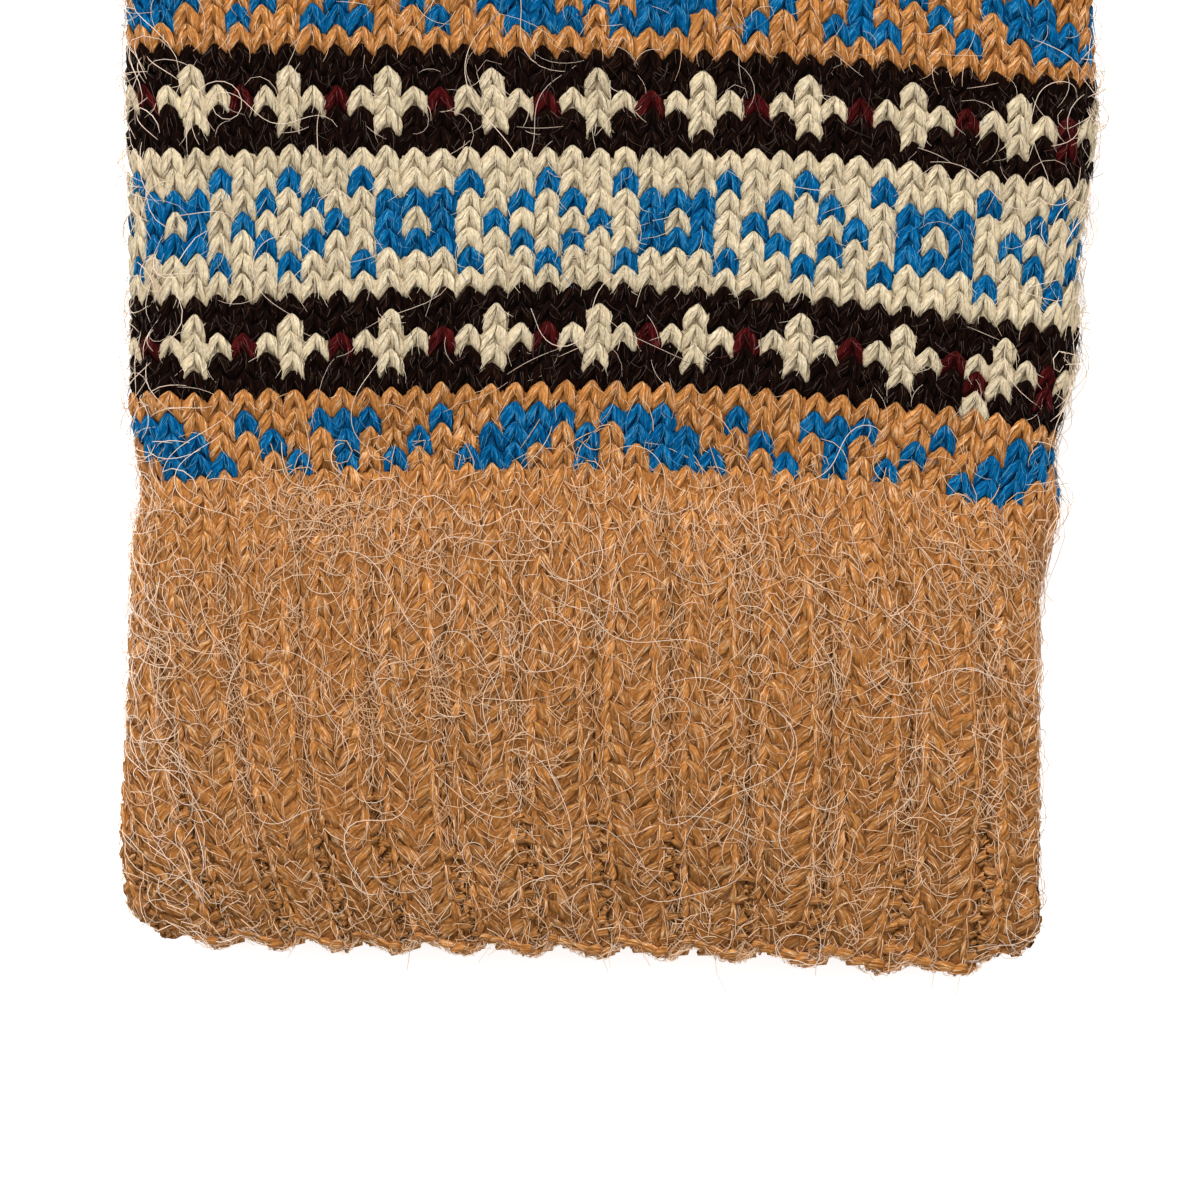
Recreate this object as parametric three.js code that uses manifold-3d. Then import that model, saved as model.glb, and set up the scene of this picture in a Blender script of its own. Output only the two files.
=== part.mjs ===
// A right-hand knitted glove, lying flat with the back of the hand up.
// Millimetres. X runs across the glove with the thumb on the -X side, Y runs from the hem to the
// fingertips, and Z is up from the surface that the glove lies on.
import * as THREE from 'three';
import { mergeVertices } from 'three/addons/utils/BufferGeometryUtils.js';
import Module from 'manifold-3d';

const wasm = await Module();
wasm.setup();

// Knit
const WALL = 2.5; // thickness of the knitted fabric
const SEAT_GAP = 0.3; // clearance between pieces that meet
const RIBS_ROUND = 27; // ribs round the cuff, each a pair of raised columns beside a sunk one
const RIB_START = -4.1; // X of the groove in the middle of one pair, on the back
const LINING_RELIEF = 0.25; // share of the ribs' depth that shows on the inside

// One rib towards -X: how far each point is sunk, and how far the hem is notched there
const RIB_POINTS = [
  { at: 'groove', sunk: 0.25, notch: 0.35 },
  { at: 'first column', sunk: 0, notch: 0.7 },
  { at: 'first flank', sunk: 0.45, notch: 1 },
  { at: 'gutter', sunk: 1, notch: 0.45 },
  { at: 'second flank', sunk: 0.45, notch: 0 },
  { at: 'second column', sunk: 0, notch: 0.1 },
];

// Heights along the glove, on its straight left part
const CUFF_TOP = 49.9;
const PATTERN_TOP = 101.9;
const THUMB_LINE = 142; // where the thumb's own tube starts
const FINGER_LINE = 167; // where the fingers' own tubes start

// How the rows sag towards the little finger side
const SAG_START = 10; // the rows are straight up to this X
const SAG_REACH = 38; // and sag by their full amount this much further on
const SAG_POWER = 1.7;
const SAG_LOW = 4.2; // sag of the rows of the wrist
const SAG_HIGH = 9; // sag of the line that the fingers start from

// The hem: it runs lower towards +X, is notched at each rib, and turns up at its two corners
const HEM_SLOPE = 0.025;
const HEM_NOTCH = 1.1;
const HEM_CORNER_LEFT = 1.2;
const HEM_CORNER_RIGHT = 4.4;
const HEM_CORNER_START = 0.84; // share of the half width where the corners begin

// Sections of the tubes. left and right are the outline from above, side is the height of the round
// sides, crown is how much higher the middle of the back is, and sag is that of the row. rib is how
// deep the ribs are, and hem is the share of the hem's own form that the section takes.
const CUFF_SECTIONS = [
  { y: -0.5, left: -46.2, right: 44.6, side: 10.2, crown: 1.6, sag: 3, rib: 1.1, hem: 1 },
  { y: 2.6, left: -48.5, right: 45.9, side: 10.7, crown: 1.6, sag: 2.6, rib: 1.1, hem: 0.35 },
  { y: 8, left: -49.7, right: 46, side: 11, crown: 1.7, sag: 2.2, rib: 1, hem: 0 },
  { y: 20, left: -49.6, right: 46.1, side: 11, crown: 1.8, sag: 2.2, rib: 0.85, hem: 0 },
  { y: 32, left: -49.3, right: 45.9, side: 11, crown: 1.8, sag: 2.7, rib: 0.6, hem: 0 },
  { y: 42, left: -48.8, right: 46.5, side: 11, crown: 1.8, sag: 3.6, rib: 0.35, hem: 0 },
  { y: CUFF_TOP, left: -47.8, right: 48.2, side: 11, crown: 1.8, sag: SAG_LOW, rib: 0.15, hem: 0 },
];
const WRIST_SECTIONS = [
  { y: CUFF_TOP, left: -47.8, right: 48.2, side: 11, crown: 1.8, sag: SAG_LOW },
  { y: 56, left: -48.6, right: 48.0, side: 11.2, crown: 1.9, sag: SAG_LOW },
  { y: 65, left: -48.9, right: 49.9, side: 11.2, crown: 1.9, sag: SAG_LOW },
  { y: 77, left: -48.9, right: 50.3, side: 11.2, crown: 1.8, sag: SAG_LOW },
  { y: 89, left: -49.1, right: 51.7, side: 11, crown: 1.8, sag: SAG_LOW },
  { y: PATTERN_TOP, left: -49.7, right: 51.3, side: 11, crown: 1.8, sag: SAG_LOW },
];
const PALM_SECTIONS = [
  { y: PATTERN_TOP, left: -49.7, right: 51.3, side: 11, crown: 1.8, sag: SAG_LOW },
  { y: 108, left: -52.6, right: 51.3, side: 11, crown: 1.8, sag: 3 },
  { y: 118, left: -59.4, right: 51.4, side: 11, crown: 1.8, sag: 1.4 },
  { y: 130, left: -68.4, right: 51.4, side: 11, crown: 1.8, sag: 0 },
  { y: THUMB_LINE, left: -75.8, right: 51.3, side: 11, crown: 1.8, sag: 0 },
];
const KNUCKLE_SECTIONS = [
  { y: THUMB_LINE - 1.2, left: -49.9, right: 51.1, side: 10.8, crown: 1.8, sag: 0 },
  { y: 150, left: -49.4, right: 51, side: 10.8, crown: 1.7, sag: 2 },
  { y: 159, left: -49.1, right: 51, side: 10.7, crown: 1.6, sag: 5 },
  { y: FINGER_LINE, left: -49, right: 51, side: 10.7, crown: 1.5, sag: SAG_HIGH },
];
const MAIN_MIDDLE = 1; // X of the middle of the hand's crown
const MAIN_HALF = 50.5; // half the width that the crown spreads over

// Thumb and fingers: left and right are where the tube starts, lean is its sideways run for each
// millimetre of length, tip_width is its width where the round tip starts
const THUMB = { left: -75.8, right: -50.5, length: 58, lean: -0.28, tip_width: 19.5, side: 10.8 };
const FINGERS = [
  { name: 'index_finger', left: -49, right: -23.6, length: 71, lean: -0.07, tip_width: 20.5, side: 10.6 },
  { name: 'middle_finger', left: -23.3, right: 2.7, length: 79, lean: -0.015, tip_width: 21, side: 10.6 },
  { name: 'ring_finger', left: 3, right: 28.2, length: 73, lean: 0.035, tip_width: 20.5, side: 10.6 },
  { name: 'little_finger', left: 28.5, right: 51, length: 60, lean: 0.1, tip_width: 18.5, side: 10.4 },
];
const TIP_LENGTH = 9; // length of a round tip
const TIP_STEPS = [0, 0.35, 0.62, 0.84, 0.96]; // ring positions along the round tip
const TUBE_STEPS = 4; // rings along a finger below its tip
const INNER_STEPS = 3;

// Points round a plain section: how many on the underside, each side and the back
const PLAIN_SPLIT = [10, 6, 10, 6];
const FINGER_SPLIT = [4, 6, 6, 6];

const CAMEL = { color: 0xb8793a, roughness: 0.95, metalness: 0 };
const PATTERN = { color: 0xb9a684, roughness: 0.95, metalness: 0 };

const mix = THREE.MathUtils.lerp;
const clamp = THREE.MathUtils.clamp;

// How far a row hangs below its straight left part at x, for a full sag of the given amount
function sagAt(x, amount) {
  return amount * Math.max(0, (x - SAG_START) / SAG_REACH) ** SAG_POWER;
}

// Height of the line that the fingers start from
function fingerLine(x) {
  return FINGER_LINE - sagAt(Math.min(x, SAG_START + SAG_REACH), SAG_HIGH);
}

// A point of a flat-bottomed oval, inset from its outline. Stretch 0 is the underside towards +X,
// 1 the round +X side, 2 the crowned back towards -X, and 3 the round -X side. f runs 0 to 1.
function ovalPoint(section, inset, stretch, f) {
  const radius = section.side / 2;
  const xLeft = section.left + radius;
  const xRight = section.right - radius;
  const lift = section.lift ?? 0;
  if (stretch === 0) return [mix(xLeft, xRight, f), lift + inset];
  if (stretch === 2) {
    const x = mix(xRight, xLeft, f);
    const across = section.own_crown ? 2 * f - 1 : (x - MAIN_MIDDLE) / MAIN_HALF;
    return [x, lift + section.side - inset + section.crown * Math.max(0, 1 - across * across)];
  }
  const centre = stretch === 1 ? xRight : xLeft;
  const angle = (stretch === 1 ? -Math.PI / 2 : Math.PI / 2) + Math.PI * f;
  const reach = radius - inset;
  return [centre + reach * Math.cos(angle), lift + radius + reach * Math.sin(angle)];
}

// Lengths of the four stretches, and the stretch and fraction at a share of the way round
function stretchLengths(section) {
  const flat = section.right - section.left - section.side;
  const arc = Math.PI * section.side / 2;
  return [flat, arc, flat, arc];
}

function stretchAt(section, share) {
  const lengths = stretchLengths(section);
  const total = lengths.reduce((sum, length) => sum + length, 0);
  let along = share * total;
  for (let stretch = 0; stretch < 3; stretch += 1) {
    if (along < lengths[stretch]) return [stretch, along / lengths[stretch]];
    along -= lengths[stretch];
  }
  return [3, along / lengths[3]];
}

// Ring of a smooth section, with its share of points on each stretch
function plainRing(section, inset, split) {
  const ring = [];
  split.forEach((count, stretch) => {
    for (let i = 0; i < count; i += 1) {
      const [x, z] = ovalPoint(section, inset, stretch, i / count);
      ring.push([x, rowHeight(section, x), z]);
    }
  });
  return ring;
}

function rowHeight(section, x) {
  if (section.sag === undefined) return section.y;
  return section.y - sagAt(x, section.sag);
}

// Ring of the cuff, even round the section from the middle of a rib on the back, and sunk between
// the ribs. The lining side keeps a part of the relief.
function cuffRing(section, inset) {
  const ring = [];
  const lengths = stretchLengths(section);
  const total = lengths.reduce((sum, length) => sum + length, 0);
  const toStart = lengths[0] + lengths[1] + section.right - section.side / 2 - RIB_START;
  const count = RIBS_ROUND * RIB_POINTS.length;
  const relief = section.rib * (inset === 0 ? 1 : LINING_RELIEF);
  for (let i = 0; i < count; i += 1) {
    const point = RIB_POINTS[i % RIB_POINTS.length];
    const [stretch, f] = stretchAt(section, (toStart / total + i / count) % 1);
    const [x, z] = ovalPoint(section, inset + relief * point.sunk, stretch, f);
    ring.push([x, rowHeight(section, x) + section.hem * hemLift(section, x, point.notch), z]);
  }
  return ring;
}

// How far the hem lies above a straight row at x
function hemLift(section, x, notch) {
  const middle = (section.left + section.right) / 2;
  const outward = Math.abs(x - middle) / (section.right - middle);
  const corner = x < middle ? HEM_CORNER_LEFT : HEM_CORNER_RIGHT;
  const turned = clamp((outward - HEM_CORNER_START) / (1 - HEM_CORNER_START), 0, 1) ** 2;
  return HEM_NOTCH * notch - HEM_SLOPE * x + corner * turned;
}

// Triangles of a surface through a list of rings of equal count. A sequence with joined ends runs
// from its last ring back to its first, as a tube with a wall does. Fanned ends close on a middle
// point, and laced ends by cross strips between the underside and the back.
function skin(rings, ends) {
  const count = rings[0].length;
  const positions = rings.flat(2);
  const index = [];
  const strips = ends === 'joined' ? rings.length : rings.length - 1;
  for (let r = 0; r < strips; r += 1) {
    const a = r * count;
    const b = ((r + 1) % rings.length) * count;
    for (let i = 0; i < count; i += 1) {
      const j = (i + 1) % count;
      index.push(a + i, a + j, b + j, a + i, b + j, b + i);
    }
  }
  if (ends !== 'joined') {
    const close = ends === 'fanned' ? fan : lace;
    close(positions, index, rings[0], 0, true);
    close(positions, index, rings[rings.length - 1], (rings.length - 1) * count, false);
  }
  return facingOut(new THREE.BufferGeometry()
    .setAttribute('position', new THREE.Float32BufferAttribute(positions, 3))
    .setIndex(index));
}

function addTriangle(index, a, b, c, turned) {
  index.push(...(turned ? [a, c, b] : [a, b, c]));
}

// Closes a ring with triangles to its middle point
function fan(positions, index, ring, start, turned) {
  const pole = positions.length / 3;
  const sum = ring.reduce((total, point) => total.map((value, i) => value + point[i]), [0, 0, 0]);
  positions.push(...sum.map((value) => value / ring.length));
  for (let i = 0; i < ring.length; i += 1) {
    addTriangle(index, pole, start + i, start + (i + 1) % ring.length, turned);
  }
}

// Closes a plain ring with strips from each point of the underside to the point of the back above it
function lace(positions, index, ring, start, turned) {
  const count = ring.length;
  const [under, side] = PLAIN_SPLIT;
  const above = (i) => (2 * count - side - i) % count;
  for (let k = -side / 2; k < under + side / 2; k += 1) {
    const i = (k + count) % count;
    const j = (k + 1 + count) % count;
    if (i !== above(i)) addTriangle(index, start + i, start + j, start + above(i), turned);
    if (j !== above(j)) addTriangle(index, start + j, start + above(j), start + above(i), turned);
  }
}

// Turns a closed surface so that its faces point out, judged by the sign of its volume
function facingOut(geometry) {
  const position = geometry.attributes.position;
  const index = geometry.index.array;
  const corner = [new THREE.Vector3(), new THREE.Vector3(), new THREE.Vector3()];
  let volume = 0;
  for (let t = 0; t < index.length; t += 3) {
    corner.forEach((vertex, i) => vertex.fromBufferAttribute(position, index[t + i]));
    volume += corner[0].dot(corner[1].cross(corner[2]));
  }
  if (volume < 0) {
    for (let t = 0; t < index.length; t += 3) {
      [index[t], index[t + 1]] = [index[t + 1], index[t]];
    }
  }
  return geometry;
}

// Tube with a wall, open at both ends. The ring maker gives a section's ring at an inset.
function tube(sections, ringOf) {
  const outer = sections.map((section) => ringOf(section, 0));
  const inner = sections.filter((section, i) => i % 2 === 0 || i === sections.length - 1)
    .map((section) => ringOf(section, WALL));
  return skin([...outer, ...inner.reverse()], 'joined');
}

// The same sections with the two end rows moved in by the given amounts
function trimmed(sections, start, end) {
  return sections.map((section, i) => {
    if (i === 0) return { ...section, y: section.y + start };
    if (i === sections.length - 1) return { ...section, y: section.y - end };
    return section;
  });
}

// Solid loft through sections, for joining and cutting
function plug(sections, inset) {
  return skin(sections.map((section) => plainRing(section, inset, PLAIN_SPLIT)), 'laced');
}

function toSolid(geometry) {
  const bare = mergeVertices(geometry);
  return new wasm.Manifold(new wasm.Mesh({
    numProp: 3,
    vertProperties: new Float32Array(bare.attributes.position.array),
    triVerts: new Uint32Array(bare.index.array),
  }));
}

function fromSolid(solid) {
  const { vertProperties, triVerts } = solid.getMesh();
  return new THREE.BufferGeometry()
    .setAttribute('position', new THREE.BufferAttribute(vertProperties, 3))
    .setIndex(new THREE.BufferAttribute(triVerts, 1));
}

// Hand: a palm that widens to carry the thumb, and a narrower part above the thumb. The two outer
// forms are joined and their two hollows are cut out, so that both run into one another.
function handGeometry() {
  const start = SEAT_GAP / 2;
  const palm = trimmed(PALM_SECTIONS, start, 0);
  const palmHollow = trimmed(PALM_SECTIONS, -1, -0.6);
  const knuckles = trimmed(KNUCKLE_SECTIONS, 0, start);
  const knuckleHollow = trimmed(KNUCKLE_SECTIONS, -1.2, -1);
  const outer = toSolid(plug(palm, 0)).add(toSolid(plug(knuckles, 0)));
  const hollow = toSolid(plug(palmHollow, WALL)).add(toSolid(plug(knuckleHollow, WALL)));
  return fromSolid(outer.subtract(hollow));
}

// Ring of a thumb or finger at a distance along it. The first ring follows the line that the tube
// starts from, and the last is square to Y.
function digitRing(digit, startLine, along, inset) {
  const width = mix(digit.right - digit.left, digit.tip_width, along / digit.length);
  const intoTip = clamp((along - digit.length + TIP_LENGTH) / TIP_LENGTH, 0, 1);
  const round = Math.sqrt(1 - intoTip * intoTip);
  const side = digit.side * (0.35 + 0.65 * round);
  const middle = (digit.left + digit.right) / 2 + digit.lean * along;
  const half = Math.max(width / 2 * round, side / 2 + 0.4);
  const section = {
    left: middle - half,
    right: middle + half,
    side,
    crown: 0.9 * round,
    lift: (digit.side - side) / 2,
    own_crown: true,
  };
  const base = (digit.left + digit.right) / 2;
  const end = startLine(base) + digit.length;
  const share = along / digit.length;
  return plainRing(section, inset, FINGER_SPLIT).map(([x, , z]) => {
    const start = startLine(x - digit.lean * along) + SEAT_GAP / 2;
    return [x, mix(start, end, share), z];
  });
}

// Thumb or finger: a tube with a wall, open where it starts and closed by a round tip
function digitGeometry(digit, startLine) {
  const straight = digit.length - TIP_LENGTH;
  const outer = [];
  for (let i = 0; i < TUBE_STEPS; i += 1) {
    outer.push(digitRing(digit, startLine, straight * i / TUBE_STEPS, 0));
  }
  TIP_STEPS.forEach((step) => outer.push(digitRing(digit, startLine, straight + TIP_LENGTH * step, 0)));
  const inner = [];
  for (let i = 0; i <= INNER_STEPS; i += 1) {
    inner.push(digitRing(digit, startLine, (straight - 0.5) * i / INNER_STEPS, WALL));
  }
  return skin([...outer.reverse(), ...inner], 'fanned');
}

function piece(name, geometry, finish) {
  const mesh = new THREE.Mesh(geometry, new THREE.MeshStandardMaterial(finish));
  mesh.name = name;
  return mesh;
}

const ringPlain = (section, inset) => plainRing(section, inset, PLAIN_SPLIT);
const half = SEAT_GAP / 2;

const glove = new THREE.Group();
glove.add(
  piece('ribbed_cuff', tube(trimmed(CUFF_SECTIONS, 0, half), cuffRing), CAMEL),
  piece('patterned_wrist', tube(trimmed(WRIST_SECTIONS, half, half), ringPlain), PATTERN),
  piece('hand', handGeometry(), CAMEL),
  piece('thumb', digitGeometry(THUMB, () => THUMB_LINE + half), CAMEL),
  ...FINGERS.map((finger) => piece(finger.name, digitGeometry(finger, fingerLine), CAMEL)),
);

// The origin is on the resting surface, below the middle of the glove's outline
const bounds = new THREE.Box3().setFromObject(glove);
const centre = bounds.getCenter(new THREE.Vector3());
glove.position.set(-centre.x, -centre.y, -bounds.min.z);

export default glove;
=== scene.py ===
"""A fair isle knit glove, knitted stitch by stitch round its solid frame.

Lengths in the tables are millimetres in the glove's own axes: X across the back from near the
middle of the wrist, Y from the hem to the fingertips, Z up from the table it lies on. A place on
the knitting is a column, counted round the glove from a rib groove near the middle of its back,
and a height, the Y that its row would have if no row sagged.
"""

import math

import bpy
import numpy as np
from bpy.props import FloatProperty, FloatVectorProperty, IntProperty, PointerProperty
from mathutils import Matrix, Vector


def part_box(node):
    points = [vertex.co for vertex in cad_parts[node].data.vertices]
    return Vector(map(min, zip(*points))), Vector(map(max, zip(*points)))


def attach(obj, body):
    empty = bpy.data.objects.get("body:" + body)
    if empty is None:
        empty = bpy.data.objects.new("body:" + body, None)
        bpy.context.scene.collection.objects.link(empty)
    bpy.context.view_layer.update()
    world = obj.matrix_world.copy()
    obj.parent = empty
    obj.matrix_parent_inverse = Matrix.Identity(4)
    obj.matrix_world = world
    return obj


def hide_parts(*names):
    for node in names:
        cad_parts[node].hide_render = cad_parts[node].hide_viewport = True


bl_info = {
    "name": "Fair isle knit glove",
    "version": (1, 0, 0),
    "blender": (4, 5, 0),
    "location": "3D View > Sidebar > Knit Glove",
    "description": "Knits the cuff, patterned wrist, hand and fingers of a glove round its solid frame",
    "category": "Add Mesh",
}

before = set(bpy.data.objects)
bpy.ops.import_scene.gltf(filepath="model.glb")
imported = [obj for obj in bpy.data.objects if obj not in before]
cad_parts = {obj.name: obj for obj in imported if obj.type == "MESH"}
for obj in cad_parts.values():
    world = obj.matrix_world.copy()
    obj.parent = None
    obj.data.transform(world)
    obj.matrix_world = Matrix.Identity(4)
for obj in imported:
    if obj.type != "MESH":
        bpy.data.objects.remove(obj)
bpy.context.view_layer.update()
MM = 0.001
BODY = "root"

# The glove's main heights, half the gap that the solids leave between two sections, and where
# the glove's own axes stand in the shared frame
CUFF_START = 0.44
CUFF_TOP = 49.9
PATTERN_TOP = 101.9
THUMB_LINE = 142
FINGER_LINE = 167
WRIST_LEFT = -49.7
SEAT = 0.15
WRIST_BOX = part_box("patterned_wrist")
ORIGIN = np.array((
    WRIST_BOX[0].x / MM - WRIST_LEFT,
    WRIST_BOX[1].y / MM - PATTERN_TOP + SEAT,
    0.0,
))

# Sections of the main tube, each lying flat with half-round sides and an arched back
HEIGHT, LEFT, RIGHT, SIDE, CROWN, SAG, RIB_DEPTH, HEM_SHARE = range(8)
HAND_SECTIONS = np.array((
    # height, left, right, side depth, crown, sag, rib depth, hem share
    (-0.5, -46.2, 44.2, 10.2, 1.6, 3.0, 1.15, 1),
    (2.6, -48.5, 45.6, 10.7, 1.6, 2.6, 1.15, 0.35),
    (8, -49.6, 45.6, 11, 1.7, 2.2, 1.1, 0),
    (20, -49.4, 45.7, 11, 1.8, 2.2, 0.95, 0),
    (32, -48.8, 45.6, 11, 1.8, 2.7, 0.45, 0),
    (42, -48.4, 45.8, 11, 1.8, 3.6, 0.2, 0),
    (49.9, -47.5, 47.6, 11, 1.8, 4.2, 0.05, 0),
    (56, -48.5, 47.0, 11.2, 1.9, 4.2, 0, 0),
    (65, -48.7, 49.2, 11.2, 1.9, 4.2, 0, 0),
    (77, -48.7, 49.8, 11.2, 1.8, 4.2, 0, 0),
    (89, -49.1, 51.4, 11, 1.8, 4.2, 0, 0),
    (101.9, -49.7, 51.0, 11, 1.8, 4.2, 0, 0),
    (108, -52.6, 51.3, 11, 1.8, 3.0, 0, 0),
    (118, -59.4, 51.4, 11, 1.8, 1.4, 0, 0),
    (130, -68.4, 51.4, 11, 1.8, 0, 0, 0),
    (142, -75.8, 51.3, 11, 1.8, 0, 0, 0),
))
KNUCKLE_SECTIONS = np.array((
    (140.8, -49.9, 51.1, 10.8, 1.8, 0, 0, 0),
    (150, -49.4, 51.0, 10.8, 1.7, 2, 0, 0),
    (159, -49.1, 51.0, 10.7, 1.6, 5, 0, 0),
    (167, -49.0, 51.0, 10.7, 1.5, 9, 0, 0),
))
DIGITS = (
    # name, left, right, length, lean, width at the tip, side depth
    ("thumb", -75.8, -50.5, 58, -0.28, 19.5, 10.8),
    ("index_finger", -49.0, -23.6, 71, -0.07, 20.5, 10.6),
    ("middle_finger", -23.3, 2.7, 79, -0.015, 21, 10.6),
    ("ring_finger", 3.0, 28.2, 73, 0.035, 20.5, 10.6),
    ("little_finger", 28.5, 51.0, 60, 0.1, 18.5, 10.4),
)

# How far the palm is raised, so that its stitches rest on the floor and don't cross it
PALM_RISE = 0.9

# The arch of the back, highest at CROWN_MIDDLE, and that of a digit
CROWN_MIDDLE = 1.0
CROWN_HALF = 50.5
DIGIT_CROWN = 0.9

# A digit's tip, and its side depth at the pole as a share of the full one
TIP_LENGTH = 9.0
TIP_SHARE = 0.35

# Where the rows start to hang towards the little finger, and where they stop
SAG_START = 10
SAG_REACH = 38
SAG_END = 48
SAG_POWER = 1.7
SAG_HIGH = 9

# How far each row of the patterned wrist hangs below its height, at each X of DROP_AT
DROP_AT = np.array((-46.8, -31.2, -15.6, 0, 10.4, 20.8, 31.2, 41.6, 47.8))
WRIST_DROPS = (
    (49.9, 1.2, 0.5, 0.0, -0.1, 0.2, 0.8, 1.5, 3.7, 3.7),
    (58.2, 0.8, 0.5, 0.0, -0.3, 0.0, 0.7, 1.8, 3.1, 4.7),
    (68.6, 1.2, 0.9, 0.2, -0.1, 0.2, 1.0, 2.2, 3.5, 4.3),
    (75, 1.0, 0.6, 0.4, 0.3, 0.5, 1.0, 2.1, 3.1, 3.5),
    (83.2, 0.4, 0.3, 0.4, 0.4, 0.5, 0.8, 1.8, 3.0, 3.6),
    (93.6, -0.1, 0.1, 0.2, 0.5, 0.8, 1.1, 1.9, 2.9, 3.4),
)

# The hem's scallops, and its rounded corners, left and right: how high they rise, and from
# which share of the half width. The palm side stands back by HEM_BACK notches
HEM_NOTCH = 1.4
HEM_BACK = 1.6
HEM_SLOPE = 0.025
HEM_CORNERS = (1.2, 4.4)
HEM_CORNER_STARTS = (0.84, 0.75)

# Columns round the glove: 40 on the back from FIRST to LAST, the rest on the palm side. The
# gusset adds one for each GUSSET_COLUMN that it grows by, counting SIDE_GAIN of what its sides
# lose of FULL_SIDE. STITCH_WIDTH is the width of a column on a digit
FIRST, LAST = -18, 22
PALM_COLUMNS = 40
CUFF_PALM_COLUMNS = 41
GROOVE_X = -4.1
COLUMN_WIDTH = 2.688
DRIFT_AT = np.arange(FIRST, LAST + 1, 5)
DRIFTS = (
    # height, then how far right of even spacing each column of DRIFT_AT stands on the back
    (-2, 10.3, 8.0, 4.7, 2.6, 0.7, -1.0, -2.0, -1.1, -1.3),
    (2, 9.5, 7.3, 4.0, 2.2, 0.6, -0.9, -1.7, -0.7, -1.2),
    (8, 7.5, 5.3, 2.4, 1.2, 0.1, -0.8, -0.8, -0.1, -1.0),
    (16, 5.3, 3.5, 0.9, 0.1, -0.4, -0.7, -0.2, 0.4, -0.8),
    (26, 3.3, 2.1, 0.3, -0.2, -0.7, -0.6, 0.1, 0.2, -0.5),
    (38, 2.0, 1.5, 0.6, 0.0, -0.5, -0.6, -0.7, -0.7, -0.8),
    (50, 1.8, 1.4, 0.7, -0.3, -1.4, -1.8, -2.5, -2.9, -3.0),
    (57, 1.1, 0.9, 0.3, -0.6, -1.1, -1.6, -1.8, -1.6, -2.6),
    (61, 1.3, 0.8, 0.0, -0.3, -0.4, -1.1, -1.0, -1.3, -2.7),
    (66, 1.6, 0.6, -0.1, 0.0, -0.1, -0.8, -0.6, -0.8, -2.2),
    (76, 2.5, 0.8, -0.4, 0.0, 0.0, 0.0, -0.2, -0.1, -1.2),
    (85, 1.6, 0.8, -0.5, 0.0, 0.0, 0.1, 0.2, 0.4, 0.1),
    (95, 0.1, 0.2, -0.5, -0.6, -0.3, 0.2, 0.4, 0.8, 0.5),
    (115, 0, 0, 0, 0, 0, 0, 0, 0, 0),
)
GUSSET_COLUMN = 2.68
STITCH_WIDTH = 2.66
FULL_SIDE = 11
SIDE_GAIN = 0.3

# One rib over three columns from a groove: how far it is sunk, and its share of the hem's notch
RIB = np.array((
    # column, sunk, notch
    (0, 0.5, 0.5),
    (0.5, 0.0, 0.15),
    (1.0, 0.35, 0.0),
    (1.5, 1.0, 0.1),
    (1.9, 0.6, 0.7),
    (2.25, 0.2, 1.0),
    (2.5, 0.0, 0.9),
    (3, 0.5, 0.5),
))
RIB_COLUMNS = 3
LEFT_COLUMN, SUNK_COLUMN, RIGHT_COLUMN = 0.5, 1.5, 2.5
MEAN_SUNK = 0.4
RIB_PINCH = 0.46

# The sunk columns are purl up to about PURL_TOP, and plain above. A rib's two raised columns
# lean together over the sunk one, fully from LEAN_RISE below LEAN_START
PURL_TOP = 13
PURL_SPREAD = 3
RIB_LEAN = 0.2
LEAN_START = CUFF_TOP - 3
LEAN_RISE = 22

# Tones of the cuff's stitches, as painted light and shade: lightest under the pattern, painted shade
# growing towards the hem, painted shade in sunk columns and in the crease between two raised
# ones, and painted light on the other raised legs
CUFF_TONE = 1.1
HEM_SHADE_FALL = 5
SUNK_SHADE, CREASE_SHADE, RAISED_LIGHT = -3.4, -1.7, 1.3
RIB_SHADE_RISE = 12

# Yarns, and the colourwork charted from the cuff up
CAMEL, CREAM, BLUE, DARK, RED = range(5)
YARN_NAMES = ("camel", "cream", "blue", "dark", "red")
PATTERN_ROWS = 25
CHART_ROUND = 80
CHART_SHIFT = 10.5
WAVES = (
    # the blue and camel band's three rows from the camel row outwards, mirrored at both ends
    "BBccBccBBBc",
    "BccBccBBBcB",
    "BcBccBBBccB",
)


def smooth_lookup(at, places, values):
    """Reads a table on a cubic through its rows whose slope at a row is that of its neighbours."""
    at = np.clip(at, places[0], places[-1])
    slopes = np.gradient(values, places, axis=0)
    row = np.clip(np.searchsorted(places, at) - 1, 0, len(places) - 2)
    gap = places[row + 1] - places[row]
    t = (at - places[row]) / gap
    start = (1 + 2 * t) * (1 - t) ** 2
    leave = t * (1 - t) ** 2 * gap
    arrive = t * t * (t - 1) * gap
    return (
        start * values[row]
        + leave * slopes[row]
        + (1 - start) * values[row + 1]
        + arrive * slopes[row + 1]
    )


def sag_at(x, amount):
    """How far a row hangs at X: nothing up to SAG_START, then a power curve towards the edge."""
    return amount * (np.maximum(0, x - SAG_START) / SAG_REACH) ** SAG_POWER


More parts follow.
